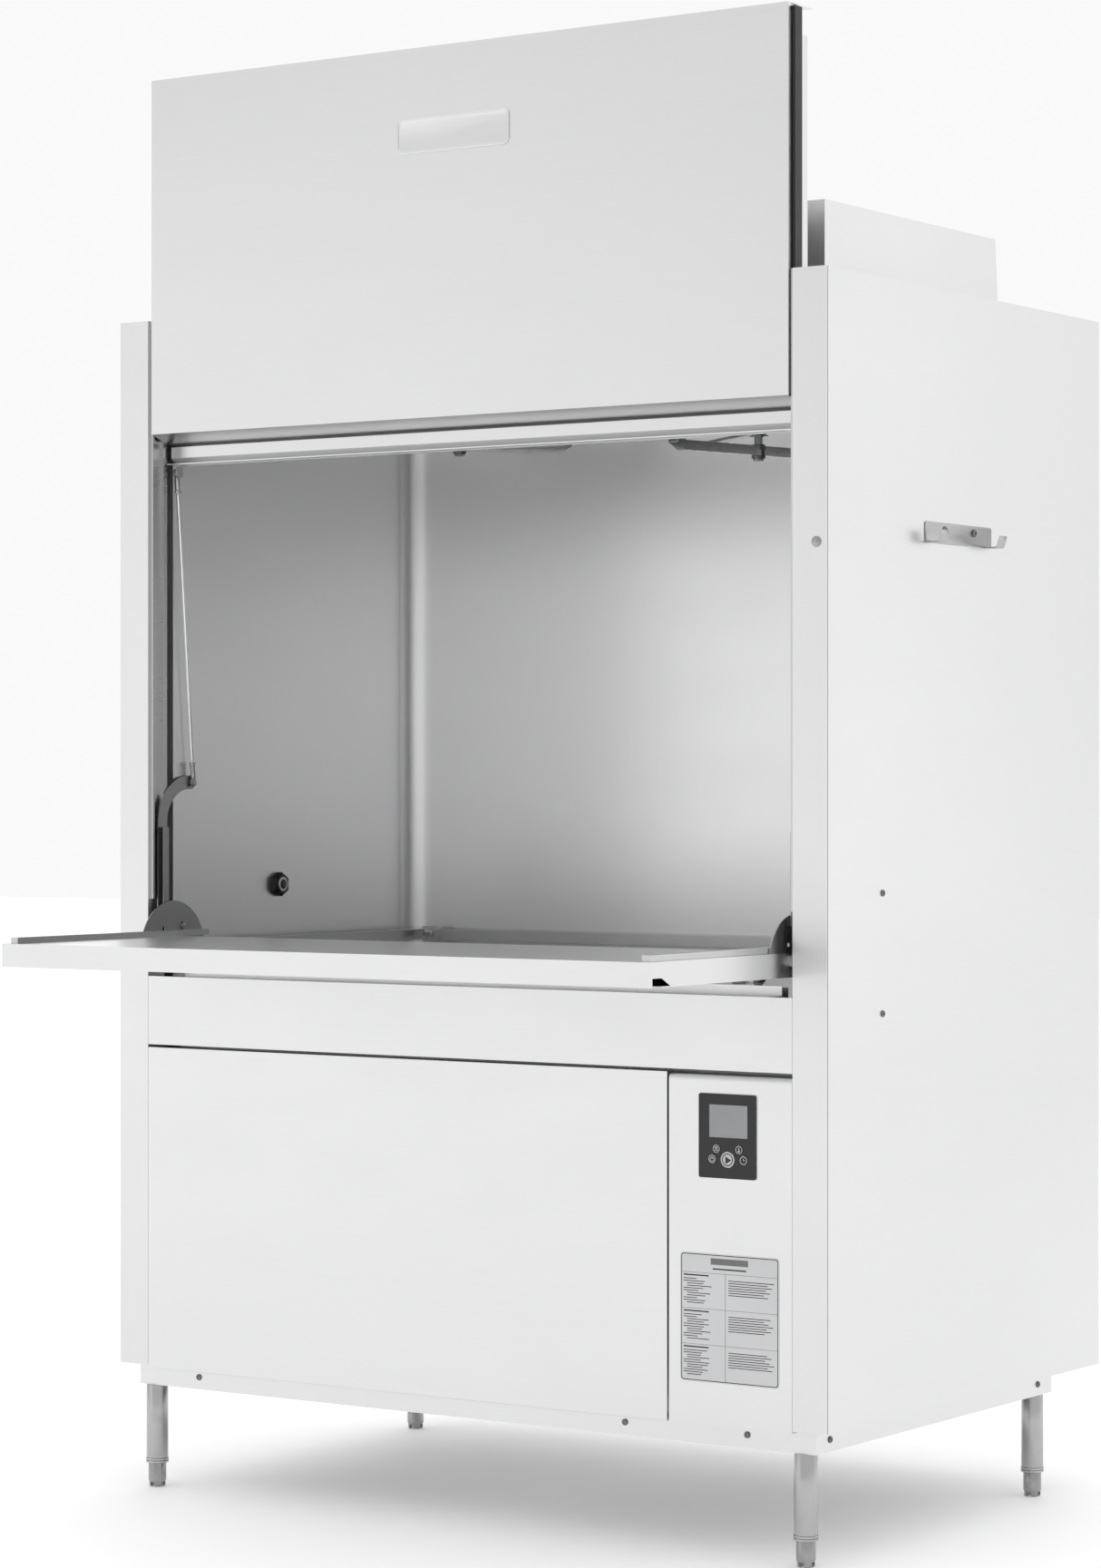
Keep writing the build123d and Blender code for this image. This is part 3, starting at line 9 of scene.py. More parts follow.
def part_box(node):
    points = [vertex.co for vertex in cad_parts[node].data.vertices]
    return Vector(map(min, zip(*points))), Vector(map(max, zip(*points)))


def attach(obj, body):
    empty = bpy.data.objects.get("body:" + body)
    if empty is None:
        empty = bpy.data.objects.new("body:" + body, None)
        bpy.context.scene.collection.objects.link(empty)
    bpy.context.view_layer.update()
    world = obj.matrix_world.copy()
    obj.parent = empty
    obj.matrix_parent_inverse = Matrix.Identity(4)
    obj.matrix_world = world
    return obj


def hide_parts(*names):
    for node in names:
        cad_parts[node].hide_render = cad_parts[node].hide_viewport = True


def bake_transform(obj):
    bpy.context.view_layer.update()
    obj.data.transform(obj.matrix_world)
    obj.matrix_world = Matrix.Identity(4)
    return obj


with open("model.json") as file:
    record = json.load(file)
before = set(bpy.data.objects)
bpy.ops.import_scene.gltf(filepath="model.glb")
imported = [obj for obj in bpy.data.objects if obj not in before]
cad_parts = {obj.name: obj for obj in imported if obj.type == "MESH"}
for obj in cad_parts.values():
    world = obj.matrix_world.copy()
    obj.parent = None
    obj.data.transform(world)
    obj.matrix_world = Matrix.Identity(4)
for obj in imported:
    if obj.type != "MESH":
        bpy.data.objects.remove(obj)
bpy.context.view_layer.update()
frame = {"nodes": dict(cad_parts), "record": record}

# A split-door pot washer in brushed stainless sheet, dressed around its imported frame. Metres.

MM = 0.001
ALONG = 0.99        # cosine above which two directions count as parallel


# ---------------------------------------------------------------- shader maths

class Value:
    """A number that varies over a surface. Arithmetic on it adds Math nodes."""

    def __init__(self, finish, socket):
        self.finish = finish
        self.socket = socket

    def math(self, operation, *others):
        inputs = dict(enumerate((self, *others)))
        return self.finish.node("ShaderNodeMath", {"operation": operation}, inputs)

    def __add__(self, other):
        return self.math("ADD", other)

    def __sub__(self, other):
        return self.math("SUBTRACT", other)

    def __mul__(self, other):
        return self.math("MULTIPLY", other)

    def __rsub__(self, other):
        return self.finish.node("ShaderNodeMath", {"operation": "SUBTRACT"}, {0: other, 1: self})

    __radd__ = __add__
    __rmul__ = __mul__


class Finish:
    """A surface finish: one material, built node by node."""

    def __init__(self, name):
        self.material = bpy.data.materials.new(name)
        self.material.use_nodes = True
        self.tree = self.material.node_tree
        self.tree.nodes.clear()
        self.place = self.node("ShaderNodeTexCoord", {}, {}, "Object")

    def node(self, kind, settings, inputs, output=0):
        """Adds a node, sets it up, feeds its sockets and gives one output."""
        made = self.tree.nodes.new(kind)
        for key, setting in settings.items():
            if key == "stops":
                ramp = made.color_ramp.elements
                while len(ramp) < len(setting):
                    ramp.new(0.5)
                for stop, (position, shade) in zip(ramp, setting):
                    stop.position = position
                    stop.color = shade if isinstance(shade, tuple) else (shade, shade, shade, 1)
            else:
                setattr(made, key, setting)
        for key, given in inputs.items():
            socket = made.inputs[key]
            if isinstance(given, Value):
                self.tree.links.new(given.socket, socket)
            else:
                socket.default_value = given
        return Value(self, made.outputs[output])

    def noise(self, scale, stretch=(1, 1, 1), detail=2.0, roughness=0.5):
        """Noise over the piece, in metres, with its grain drawn out along an axis."""
        spot = self.node("ShaderNodeMapping", {}, {"Vector": self.place, "Scale": stretch})
        return self.node("ShaderNodeTexNoise", {}, {"Vector": spot, "Scale": scale, "Detail": detail,
                                                    "Roughness": roughness}, "Fac")

    def ramp(self, value, stops):
        return self.node("ShaderNodeValToRGB", {"stops": stops}, {"Fac": value})

    def mix(self, factor, first, second):
        inputs = {"Factor": factor, 6: first, 7: second}
        return self.node("ShaderNodeMix", {"data_type": "RGBA"}, inputs, 2)

    def bump(self, height, strength, distance):
        return self.node("ShaderNodeBump", {}, {"Height": height, "Strength": strength, "Distance": distance})

    def surface(self, **sockets):
        names = {key.replace("_", " "): given for key, given in sockets.items()}
        shader = self.node("ShaderNodeBsdfPrincipled", {}, names)
        self.node_output(shader)
        return self.material

    def node_output(self, shader):
        made = self.tree.nodes.new("ShaderNodeOutputMaterial")
        self.tree.links.new(shader.socket, made.inputs["Surface"])


# ---------------------------------------------------------------- finishes

FLAT_GRAIN = {"across": (9, 9, 1000), "flat": (9, 1000, 9)}
UPRIGHT_GRAIN = {"across": (1000, 1000, 9), "flat": (1000, 9, 9)}


def brushed_steel(name, shade, roughness, grain=FLAT_GRAIN, smudge=0.06, depth=0.05):
    """Brushed stainless sheet: fine drawn grain, faint wipe marks and slow changes of tone."""
    finish = Finish(name)
    normal = finish.node("ShaderNodeNewGeometry", {}, {}, "Normal")
    facing = finish.node("ShaderNodeSeparateXYZ", {}, {"Vector": normal}, "Z")
    level = facing.math("ABSOLUTE").math("GREATER_THAN", 0.7)
    upright = finish.noise(1.0, grain["across"], 3.0, 0.6)
    lying = finish.noise(1.0, grain["flat"], 3.0, 0.6)
    strokes = upright * (1 - level) + lying * level
    wipes = finish.noise(3.2, (1.0, 1.0, 2.6), 4.0, 0.55)
    cloud = finish.noise(0.9, (1.0, 1.0, 1.0), 1.0)
    tone = finish.ramp(strokes * 0.55 + cloud * 0.45, [
        (0.30, (shade * 0.955, shade * 0.96, shade * 0.965, 1)),
        (0.70, (shade * 1.02, shade * 1.02, shade * 1.02, 1))])
    rough = (strokes - 0.5) * 0.10 + (wipes - 0.5) * smudge * 2 + roughness
    return finish.surface(Base_Color=tone, Metallic=1.0, Roughness=rough,
                          Normal=finish.bump(strokes, depth, 0.0002))


def polished_steel(name, shade, roughness, speck=0.04):
    """Bright bar and tube: close to polished, with fine turning marks and a few dull spots."""
    finish = Finish(name)
    marks = finish.noise(1.0, (260, 260, 900), 2.0)
    dull = finish.ramp(finish.noise(38.0, (1, 1, 1), 3.0), [(0.50, 0.0), (0.72, 1.0)])
    tone = finish.mix(dull, (shade, shade, shade * 1.01, 1), (shade * 0.9, shade * 0.9, shade * 0.9, 1))
    rough = (marks - 0.5) * 0.08 + dull * speck + roughness
    return finish.surface(Base_Color=tone, Metallic=1.0, Roughness=rough,
                          Normal=finish.bump(marks, 0.08, 0.0002))


def moulded(name, colour, roughness, texture=0.15, pore=900.0):
    """Moulded plastic or rubber: fine pores, slight cloudiness and handling shine."""
    finish = Finish(name)
    pores = finish.noise(pore, (1, 1, 1), 2.0)
    shine = finish.noise(24.0, (1, 1, 1), 3.0)
    dark = tuple(c * 0.82 for c in colour[:3]) + (1,)
    tone = finish.mix(finish.ramp(shine, [(0.35, 0.0), (0.7, 1.0)]), colour, dark)
    rough = (pores - 0.5) * 0.12 + (shine - 0.5) * 0.16 + roughness
    return finish.surface(Base_Color=tone, Roughness=rough, Normal=finish.bump(pores, texture, 0.0003))


def cast_metal(name, shade, roughness, tint=(1.0, 1.0, 1.0), grit=0.35):
    """Cast metal: grainy skin with darker hollows."""
    finish = Finish(name)
    skin = finish.noise(420.0, (1, 1, 1), 4.0, 0.65)
    stain = finish.noise(17.0, (1, 1, 1), 3.0)
    light = tuple(shade * t for t in tint) + (1,)
    deep = tuple(shade * t * 0.62 for t in tint) + (1,)
    tone = finish.mix(finish.ramp(skin * 0.6 + stain * 0.4, [(0.38, 0.0), (0.66, 1.0)]), deep, light)
    return finish.surface(Base_Color=tone, Metallic=1.0, Roughness=(stain - 0.5) * 0.25 + roughness,
                          Normal=finish.bump(skin, grit, 0.0004))


def painted(name, colour, chipped, roughness=0.38):
    """Enamel paint: slight orange peel, with rubbed spots that show the metal."""
    finish = Finish(name)
    peel = finish.noise(230.0, (1, 1, 1), 2.0)
    rub = finish.ramp(finish.noise(14.0, (1, 1, 1), 5.0, 0.7), [(0.66, 0.0), (0.70, 1.0)])
    dust = finish.ramp(finish.noise(6.0, (1, 1, 1), 4.0), [(0.4, 0.0), (0.8, 1.0)])
    worn = tuple(c * 0.86 + 0.04 for c in colour[:3]) + (1,)
    tone = finish.mix(rub, finish.mix(dust, colour, worn), chipped)
    return finish.surface(Base_Color=tone, Metallic=rub * 0.8, Roughness=dust * 0.14 + roughness,
                          Normal=finish.bump(peel, 0.12, 0.0004))


def wire_rope(name):
    """Laid wire rope: strands that wind round the cable."""
    finish = Finish(name)
    spread = finish.node("ShaderNodeTexWave", {"wave_type": "BANDS", "bands_direction": "DIAGONAL"},
                         {"Vector": finish.place, "Scale": 260.0, "Distortion": 0.6}, "Fac")
    oil = finish.noise(60.0, (1, 1, 1), 3.0)
    tone = finish.mix(spread, (0.13, 0.13, 0.13, 1), (0.52, 0.52, 0.51, 1))
    return finish.surface(Base_Color=tone, Metallic=1.0, Roughness=(oil - 0.5) * 0.2 + 0.42,
                          Normal=finish.bump(spread, 0.6, 0.0006))


def heated_sheath(name):
    """Heater sheath: blued by heat, with pale scale."""
    finish = Finish(name)
    heat = finish.noise(9.0, (1, 1, 1), 3.0)
    scale = finish.ramp(finish.noise(90.0, (1, 1, 1), 5.0, 0.7), [(0.55, 0.0), (0.68, 1.0)])
    tint = finish.ramp(heat, [(0.3, (0.17, 0.15, 0.15, 1)), (0.55, (0.30, 0.26, 0.21, 1)),
                              (0.8, (0.16, 0.18, 0.24, 1))])
    tone = finish.mix(scale, tint, (0.62, 0.60, 0.56, 1))
    return finish.surface(Base_Color=tone, Metallic=(1 - scale) * 0.9, Roughness=scale * 0.35 + 0.35,
                          Normal=finish.bump(scale, 0.2, 0.0004))


def screen_glass(name):
    """Display window: grey panel under clear glass, with a faint cell grid."""
    finish = Finish(name)
    cells = finish.node("ShaderNodeTexWave", {"bands_direction": "X"},
                        {"Vector": finish.place, "Scale": 900.0}, "Fac")
    shade = finish.noise(16.0, (1, 1, 1), 2.0)
    tone = finish.mix(shade, (0.235, 0.245, 0.25, 1), (0.285, 0.295, 0.30, 1))
    return finish.surface(Base_Color=tone, Roughness=cells * 0.04 + 0.16, Coat_Weight=0.6,
                          Normal=finish.bump(cells, 0.02, 0.0001))


def printed_sheet(name):
    """Label stock: satin polyester over metal, with a faint fleck."""
    finish = Finish(name)
    fleck = finish.noise(700.0, (1, 1, 1), 2.0)
    sheen = finish.noise(7.0, (1, 1, 1), 2.0)
    tone = finish.mix(fleck * 0.5 + sheen * 0.5, (0.55, 0.555, 0.56, 1), (0.66, 0.665, 0.67, 1))
    return finish.surface(Base_Color=tone, Metallic=0.55, Roughness=(sheen - 0.5) * 0.1 + 0.42,
                          Normal=finish.bump(fleck, 0.05, 0.0001))


def ink(name, shade):
    """Screen-printed ink: dense, slightly uneven, satin."""
    finish = Finish(name)
    coat = finish.noise(1100.0, (1, 1, 1), 2.0)
    tone = finish.mix(coat, (shade, shade, shade, 1), (shade * 1.9, shade * 1.9, shade * 1.9, 1))
    return finish.surface(Base_Color=tone, Roughness=(coat - 0.5) * 0.15 + 0.5,
                          Normal=finish.bump(coat, 0.1, 0.0001))


finishes = {
    "sheet_steel": brushed_steel("brushed_sheet", 0.74, 0.34),
    "post_steel": brushed_steel("brushed_post", 0.72, 0.32, UPRIGHT_GRAIN),
    "door_steel": brushed_steel("brushed_door", 0.73, 0.33),
    "chamber_steel": brushed_steel("chamber_sheet", 0.78, 0.33, UPRIGHT_GRAIN, 0.03),
    "tube_steel": polished_steel("drawn_tube", 0.46, 0.24),
    "fasteners": polished_steel("bright_fastener", 0.36, 0.24),
    "linkage_steel": brushed_steel("plain_bar", 0.55, 0.30, FLAT_GRAIN, 0.08),
    "hook_steel": brushed_steel("hook_strip", 0.42, 0.26, FLAT_GRAIN, 0.08),
    "screw_steel": polished_steel("dulled_screw", 0.20, 0.32, 0.10),
    "cheek_steel": brushed_steel("cheek_plate", 0.36, 0.34, UPRIGHT_GRAIN, 0.08),
    "cast_fittings": cast_metal("dark_casting", 0.05, 0.42),
    "counterweight_iron": cast_metal("grey_iron", 0.16, 0.62, (1.0, 0.97, 0.93), 0.6),
    "slide_plastic": moulded("slide_plastic_black", (0.012, 0.012, 0.013, 1), 0.42),
    "keypad_black": moulded("membrane_black", (0.008, 0.008, 0.009, 1), 0.30, 0.08, 1600.0),
    "display_glass": screen_glass("display_pane"),
    "key_plastic": moulded("key_silver", (0.56, 0.56, 0.57, 1), 0.36, 0.05, 1500.0),
    "pump_body": cast_metal("pump_casting", 0.50, 0.40),
    "motor_paint": painted("motor_enamel", (0.045, 0.075, 0.12, 1), (0.45, 0.44, 0.42, 1)),
    "heater": heated_sheath("heater_sheath"),
    "control_parts": moulded("switchgear_grey", (0.20, 0.205, 0.21, 1), 0.48),
    "cable": wire_rope("wire_rope"),
    "label_stock": printed_sheet("label_stock"),
    "ink": ink("printed_ink", 0.012),
    "ink_grey": ink("printed_grey", 0.11),
    "rod_bright": polished_steel("bright_rod", 0.78, 0.14),
    "hub_dark": cast_metal("hub_bronzed", 0.17, 0.34),
}

node_finish = {
    "corner_posts": "post_steel", "door_cheeks": "cheek_steel",
    "crank_arms": "cheek_steel", "pulley_bearings": "slide_plastic",
}


# ---------------------------------------------------------------- modelling tools

def deselect():
    if bpy.context.object and bpy.context.object.mode != "OBJECT":
        bpy.ops.object.mode_set(mode="OBJECT")
    bpy.ops.object.select_all(action="DESELECT")


def settled(name):
    """Names the fresh piece and puts its place into its mesh."""
    piece = bpy.context.object
    piece.name = name
    piece.data.name = name
    bpy.ops.object.transform_apply(location=True, rotation=True, scale=True)
    return piece


def block(name, low, high):
    """A box blank between two corners."""
    deselect()
    middle = [(a + b) / 2 for a, b in zip(low, high)]
    size = [b - a for a, b in zip(low, high)]
    bpy.ops.mesh.primitive_cube_add(size=1, location=middle, scale=size)
    return settled(name)


def round_bar(name, start, end, radius, sides=32):
    """A round or many-sided blank between two points."""
    deselect()
    run = Vector(end) - Vector(start)
    turn = run.to_track_quat("Z", "Y").to_euler()
    bpy.ops.mesh.primitive_cylinder_add(vertices=sides, radius=radius, depth=run.length,
                                        location=(Vector(start) + Vector(end)) / 2, rotation=turn)
    return settled(name)


def choose(piece, kind, test):
    """Opens a piece and selects the faces or edges that pass the test on middle and direction."""
    deselect()
    bpy.context.view_layer.objects.active = piece
    piece.select_set(True)
    bpy.ops.object.mode_set(mode="EDIT")
    bpy.ops.mesh.select_mode(type="FACE" if kind == "faces" else "EDGE")
    bpy.ops.mesh.select_all(action="DESELECT")
    mesh = bmesh.from_edit_mesh(piece.data)
    chosen = 0
    for part in getattr(mesh, kind):
        if kind == "faces":
            middle, way = part.calc_center_median(), part.normal
        else:
            middle = (part.verts[0].co + part.verts[1].co) / 2
            way = (part.verts[1].co - part.verts[0].co).normalized()
        if test(middle, way):
            part.select_set(True)
            chosen += 1
    mesh.select_flush_mode()
    bmesh.update_edit_mesh(piece.data)
    return chosen


def close(piece):
    """Merges doubles, points the faces outwards and leaves edit mode."""
    if bpy.context.object.mode != "EDIT":
        deselect()
        bpy.context.view_layer.objects.active = piece
        piece.select_set(True)
        bpy.ops.object.mode_set(mode="EDIT")
    bpy.ops.mesh.select_all(action="SELECT")
    bpy.ops.mesh.remove_doubles(threshold=1e-6)
    bpy.ops.mesh.normals_make_consistent(inside=False)
    bpy.ops.object.mode_set(mode="OBJECT")
    deselect()
    return piece


def push(piece, test, distance, inset=0.0, grow=0.0):
    """Insets the chosen faces, extrudes them along their normals, then scales them by grow."""
    if not choose(piece, "faces", test):
        return piece
    if inset:
        bpy.ops.mesh.inset(thickness=inset, depth=0, use_even_offset=True)
    if distance:
        bpy.ops.mesh.extrude_region_shrink_fatten(TRANSFORM_OT_shrink_fatten={"value": distance})
    if grow:
        bpy.ops.transform.resize(value=(grow, grow, grow))
    return close(piece)


def eased(piece, width, segments=2, angle=40.0):
    """Rounds every edge sharper than the angle."""
    deselect()
    bpy.context.view_layer.objects.active = piece
    piece.select_set(True)
    edge = piece.modifiers.new("eased", "BEVEL")
    edge.width = width
    edge.segments = segments
    edge.limit_method = "ANGLE"
    edge.angle_limit = math.radians(angle)
    bpy.ops.object.modifier_apply(modifier=edge.name)
    bpy.ops.object.shade_smooth_by_angle(angle=math.radians(35))
    deselect()
    return piece


def bored(piece, cutters):
    """Cuts holes with the given blanks, which are used up."""
    cutter = joined(cutters, cutters[0].name)
    deselect()
    bpy.context.view_layer.objects.active = piece
    piece.select_set(True)
    cut = piece.modifiers.new("cut", "BOOLEAN")
    cut.operation = "DIFFERENCE"
    cut.solver = "EXACT"
    cut.object = cutter
    bpy.ops.object.modifier_apply(modifier=cut.name)
    bpy.data.objects.remove(cutter, do_unlink=True)
    return piece


def joined(pieces, name):
    """Joins several shapes into one piece."""
    deselect()
    for piece in pieces:
        piece.select_set(True)
    bpy.context.view_layer.objects.active = pieces[0]
    if len(pieces) > 1:
        bpy.ops.object.join()
    pieces[0].name = name
    pieces[0].data.name = name
    deselect()
    return pieces[0]


def dressed(piece, finish, body):
    """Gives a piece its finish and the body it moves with."""
    piece.data.materials.clear()
    piece.data.materials.append(finishes[finish])
    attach(piece, body)
    return piece


def rounded_corners(piece, axis, radius, segments=5):
    """Rounds the corners of a flat blank whose thickness runs along an axis: 0, 1 or 2."""
    choose(piece, "edges", lambda middle, way: abs(way[axis]) > ALONG)
    bpy.ops.mesh.bevel(offset=radius, segments=segments)
    return close(piece)


def steps(*pairs):
    """(radius, length) steps of a turned piece, given in millimetres."""
    return [(radius * MM, length * MM) for radius, length in pairs]


def spin_matrix(degrees, axis, centre):
    """A turn about an axis through a point."""
    turn = Matrix.Rotation(math.radians(degrees), 4, axis)
    return Matrix.Translation(centre) @ turn @ Matrix.Translation(-Vector(centre))


def solids_of(node):
    """The low and high corners of each separate solid in a node."""
    mesh = bmesh.new()
    mesh.from_mesh(frame["nodes"][node].data)
    bmesh.ops.remove_doubles(mesh, verts=mesh.verts, dist=1e-6)
    left = set(mesh.verts)
    found = []
    while left:
        waiting = [left.pop()]
        group = []
        while waiting:
            vert = waiting.pop()
            group.append(vert.co.copy())
            for edge in vert.link_edges:
                other = edge.other_vert(vert)
                if other in left:
                    left.remove(other)
                    waiting.append(other)
        low = Vector([min(p[i] for p in group) for i in range(3)])
        high = Vector([max(p[i] for p in group) for i in range(3)])
        found.append((low, high))
    mesh.free()
    return sorted(found, key=lambda pair: tuple(round(v, 4) for v in pair[0]))


# ---------------------------------------------------------------- camera, floor and light

scene = bpy.context.scene
camera_place = (4.240, -6.253, 1.338)
camera_heading = 34.08
bpy.ops.object.camera_add(location=camera_place, rotation=(math.radians(90), 0, math.radians(camera_heading)))
camera = bpy.context.object
camera.data.lens = 93.15
camera.data.sensor_width = 36
scene.camera = camera

scene.view_settings.view_transform = "Standard"


def studio():
    """Plain pale floor, pale surround and large soft lights."""
    deselect()
    bpy.ops.mesh.primitive_plane_add(size=60, location=(0, 0, 0))
    floor = settled("studio_floor")
    finish = Finish("studio_floor")
    mottle = finish.noise(2.0, (1, 1, 1), 2.0)
    tone = finish.mix(mottle, (0.93, 0.93, 0.93, 1), (0.95, 0.95, 0.95, 1))
    floor.data.materials.append(finish.surface(Base_Color=tone, Roughness=0.75, Emission_Color=tone,
                                               Emission_Strength=0.22))
    for name, place, aim, size, power in (
            ("overhead_soft", (0.0, -1.0, 5.2), (0, 0, 1.0), (5.0, 5.0), 22),
            ("front_soft", (-5.0, -6.5, 1.8), (0, 0, 1.2), (5.0, 4.0), 20),
            ("side_soft", (5.6, 5.6, 2.6), (0, 0, 1.4), (5.0, 4.0), 27),
            ("rear_soft", (-3.5, 6.0, 3.4), (0, 0, 1.2), (5.0, 4.0), 40)):
        lamp = bpy.data.lights.new(name, "AREA")
        lamp.shape = "RECTANGLE"
        lamp.size, lamp.size_y = size
        lamp.energy = power
        holder = bpy.data.objects.new(name, lamp)
        holder.location = place
        holder.rotation_euler = (Vector(aim) - Vector(place)).to_track_quat("-Z", "Y").to_euler()
        bpy.context.collection.objects.link(holder)
    world = bpy.data.worlds.new("studio")
    scene.world = world
    world.use_nodes = True
    tree = world.node_tree
    sky = tree.nodes["Background"]
    view = tree.nodes.new("ShaderNodeTexCoord")
    split = tree.nodes.new("ShaderNodeSeparateXYZ")
    ramp = tree.nodes.new("ShaderNodeValToRGB")
    ramp.color_ramp.elements[0].position = 0.0
    ramp.color_ramp.elements[0].color = (0.78, 0.78, 0.785, 1)
    ramp.color_ramp.elements[1].position = 0.55
    ramp.color_ramp.elements[1].color = (1.0, 1.0, 1.0, 1)
    rays = tree.nodes.new("ShaderNodeLightPath")
    plain = tree.nodes.new("ShaderNodeMix")
    plain.data_type = "RGBA"
    plain.inputs[7].default_value = (1, 1, 1, 1)
    tree.links.new(view.outputs["Generated"], split.inputs[0])
    tree.links.new(split.outputs["Z"], ramp.inputs["Fac"])
    tree.links.new(rays.outputs["Is Camera Ray"], plain.inputs["Factor"])
    tree.links.new(ramp.outputs["Color"], plain.inputs[6])
    tree.links.new(plain.outputs[2], sky.inputs["Color"])
    sky.inputs["Strength"].default_value = 0.95


studio()

# ---------------------------------------------------------------- carried-over nodes

for name, piece in frame["nodes"].items():
    for slot in piece.material_slots:
        key = node_finish.get(name, slot.material.name.split(".")[0])
        slot.material = finishes.get(key, finishes["sheet_steel"])

# ---------------------------------------------------------------- shared shapes

def turned(name, start, way, steps, sides=32):
    """A round or many-sided shape built up from (radius, length) steps along a direction."""
    way = Vector(way).normalized()
    radius, length = steps[0]
    centre = Vector(start) + way * length
    piece = round_bar(name, start, centre, radius, sides)
    if len(steps) == 1:
        return piece
    choose(piece, "faces", lambda middle, normal: normal.dot(way) > ALONG)
    for wide, deep in steps[1:]:
        bpy.ops.mesh.extrude_region_move(TRANSFORM_OT_translate={"value": (0, 0, 0)})
        scale = wide / radius
        bpy.ops.transform.resize(value=(scale, scale, scale), center_override=centre)
        bpy.ops.mesh.extrude_region_move(TRANSFORM_OT_translate={"value": way * deep})
        radius = wide
        centre = centre + way * deep
    return close(piece)


def screw(name, start, way, radius, height, finish="screw_steel", body="root"):
    """A pan-head screw with a dimpled drive recess."""
    way = Vector(way).normalized()
    piece = turned(name, start, way, [(radius, height * 0.55), (radius * 0.86, height * 0.3),
                                      (radius * 0.62, height * 0.15)], 24)
    push(piece, lambda middle, normal: normal.dot(way) > ALONG and
         (middle - Vector(start)).dot(way) > height * 0.98, -height * 0.45, radius * 0.22)
    return dressed(eased(piece, radius * 0.05, 2), finish, body)


def hexagon(name, start, way, radius, height, finish="fasteners", body="root"):
    """A hex nut or bolt head with chamfered corners and a raised middle."""
    piece = turned(name, start, way, [(radius, height * 0.8), (radius * 0.93, height * 0.2)], 6)
    heading = Vector(way).normalized()
    push(piece, lambda middle, normal: normal.dot(heading) > ALONG and
         (middle - Vector(start)).dot(heading) > height * 0.9, height * 0.12, radius * 0.32)
    return dressed(eased(piece, radius * 0.06, 2), finish, body)


# ---------------------------------------------------------------- legs and feet

leg_groove_depth, leg_groove_width = 1.1 * MM, 1.6 * MM
leg_band, leg_end_taper, leg_end_inset = 3.2 * MM, 1.2 * MM, 1.2 * MM
leg_wall, leg_bore_depth = 2.2 * MM, 4 * MM
leg_end = leg_groove_width + leg_band + leg_end_taper

for count, (low, high) in enumerate(solids_of("leg_tubes"), 1):
    x, y = (low.x + high.x) / 2, (low.y + high.y) / 2
    radius = (high.x - low.x) / 2
    tube = turned(f"leg_tube_{count}", (x, y, high.z), (0, 0, -1),
                  [(radius, high.z - low.z - leg_end), (radius - leg_groove_depth, leg_groove_width),
                   (radius, leg_band), (radius - leg_end_inset, leg_end_taper)], 48)
    push(tube, lambda middle, normal: normal.z < -ALONG, -leg_bore_depth, leg_wall)
    dressed(eased(tube, 0.5 * MM), "tube_steel", "root")
    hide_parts("leg_tubes")

# From the floor up: chamfer, spanner land, shoulder, body, top chamfer and stem.
foot_profile = steps((13.5, 1.5), (15.4, 10), (16.9, 1.2), (16.9, 33), (15.6, 2.6), (8, 60))
notch_half, notch_top = 4.5 * MM, 9 * MM
notch_reach, notch_below = 30 * MM, 10 * MM

for count, (low, high) in enumerate(solids_of("levelling_feet"), 1):
    x, y = (low.x + high.x) / 2, (low.y + high.y) / 2
    foot = turned(f"levelling_foot_{count}", (x, y, low.z), (0, 0, 1), foot_profile, 48)
    for across, deep in ((notch_half, notch_reach), (notch_reach, notch_half)):
        bored(foot, [block("notch", (x - across, y - deep, -notch_below), (x + across, y + deep, notch_top))])
    dressed(eased(foot, 0.5 * MM), "fasteners", "levelling_feet")
    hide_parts("levelling_feet")

# ---------------------------------------------------------------- cabinet screws and plug

cabinet_screw_radius, cabinet_screw_height = 6 * MM, 3 * MM

for count, (low, high) in enumerate(solids_of("cabinet_screws"), 1):
    centre = (low + high) / 2
    size = high - low
    if size.y < size.x:
        start, way = (centre.x, high.y, centre.z), (0, -1, 0)
    else:
        side = math.copysign(1, centre.x)
        start, way = (low.x if side > 0 else high.x, centre.y, centre.z), (side, 0, 0)
    head = screw(f"cabinet_screw_{count}", start, way, cabinet_screw_radius, cabinet_screw_height)
    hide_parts("cabinet_screws")

plug_radius = 7.1 * MM
plug_dome = steps((9.5, 0.8), (9.2, 0.6), (8.1, 0.4), (5.5, 0.2))
low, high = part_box("post_plug")
centre = (low + high) / 2
shank = high.y - low.y - sum(length for wide, length in plug_dome)
plug = turned("post_plug_dome", (centre.x, high.y, centre.z), (0, -1, 0), [(plug_radius, shank), *plug_dome], 40)
dressed(eased(plug, 0.2 * MM), "fasteners", "root")
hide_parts("post_plug")

# ---------------------------------------------------------------- painted shadow lines along the posts

shadow_line_outside, shadow_line_inside = 0.12 * MM, 0.8 * MM
shadow_line_front, shadow_line_back = 1.6 * MM, 3.4 * MM
shadow_line_end_gap = 1 * MM

posts_low, posts_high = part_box("corner_posts")
# Each post gets a thin dark strip in the screw finish down its outer edge, just behind the front face. It is a
# painted shadow of the joint between the post and the side panel.
for label, side in (("left", -1), ("right", 1)):
    outer = side * (posts_high.x + shadow_line_outside)
    inner = side * (posts_high.x - shadow_line_inside)
    shadow_line = block(f"post_shadow_line_{label}", (min(outer, inner), posts_low.y + shadow_line_front, posts_low.z + shadow_line_end_gap),
                (max(outer, inner), posts_low.y + shadow_line_back, posts_high.z - shadow_line_end_gap))
    dressed(eased(shadow_line, 0.05 * MM, 1), "screw_steel", "root")

# ---------------------------------------------------------------- door badge

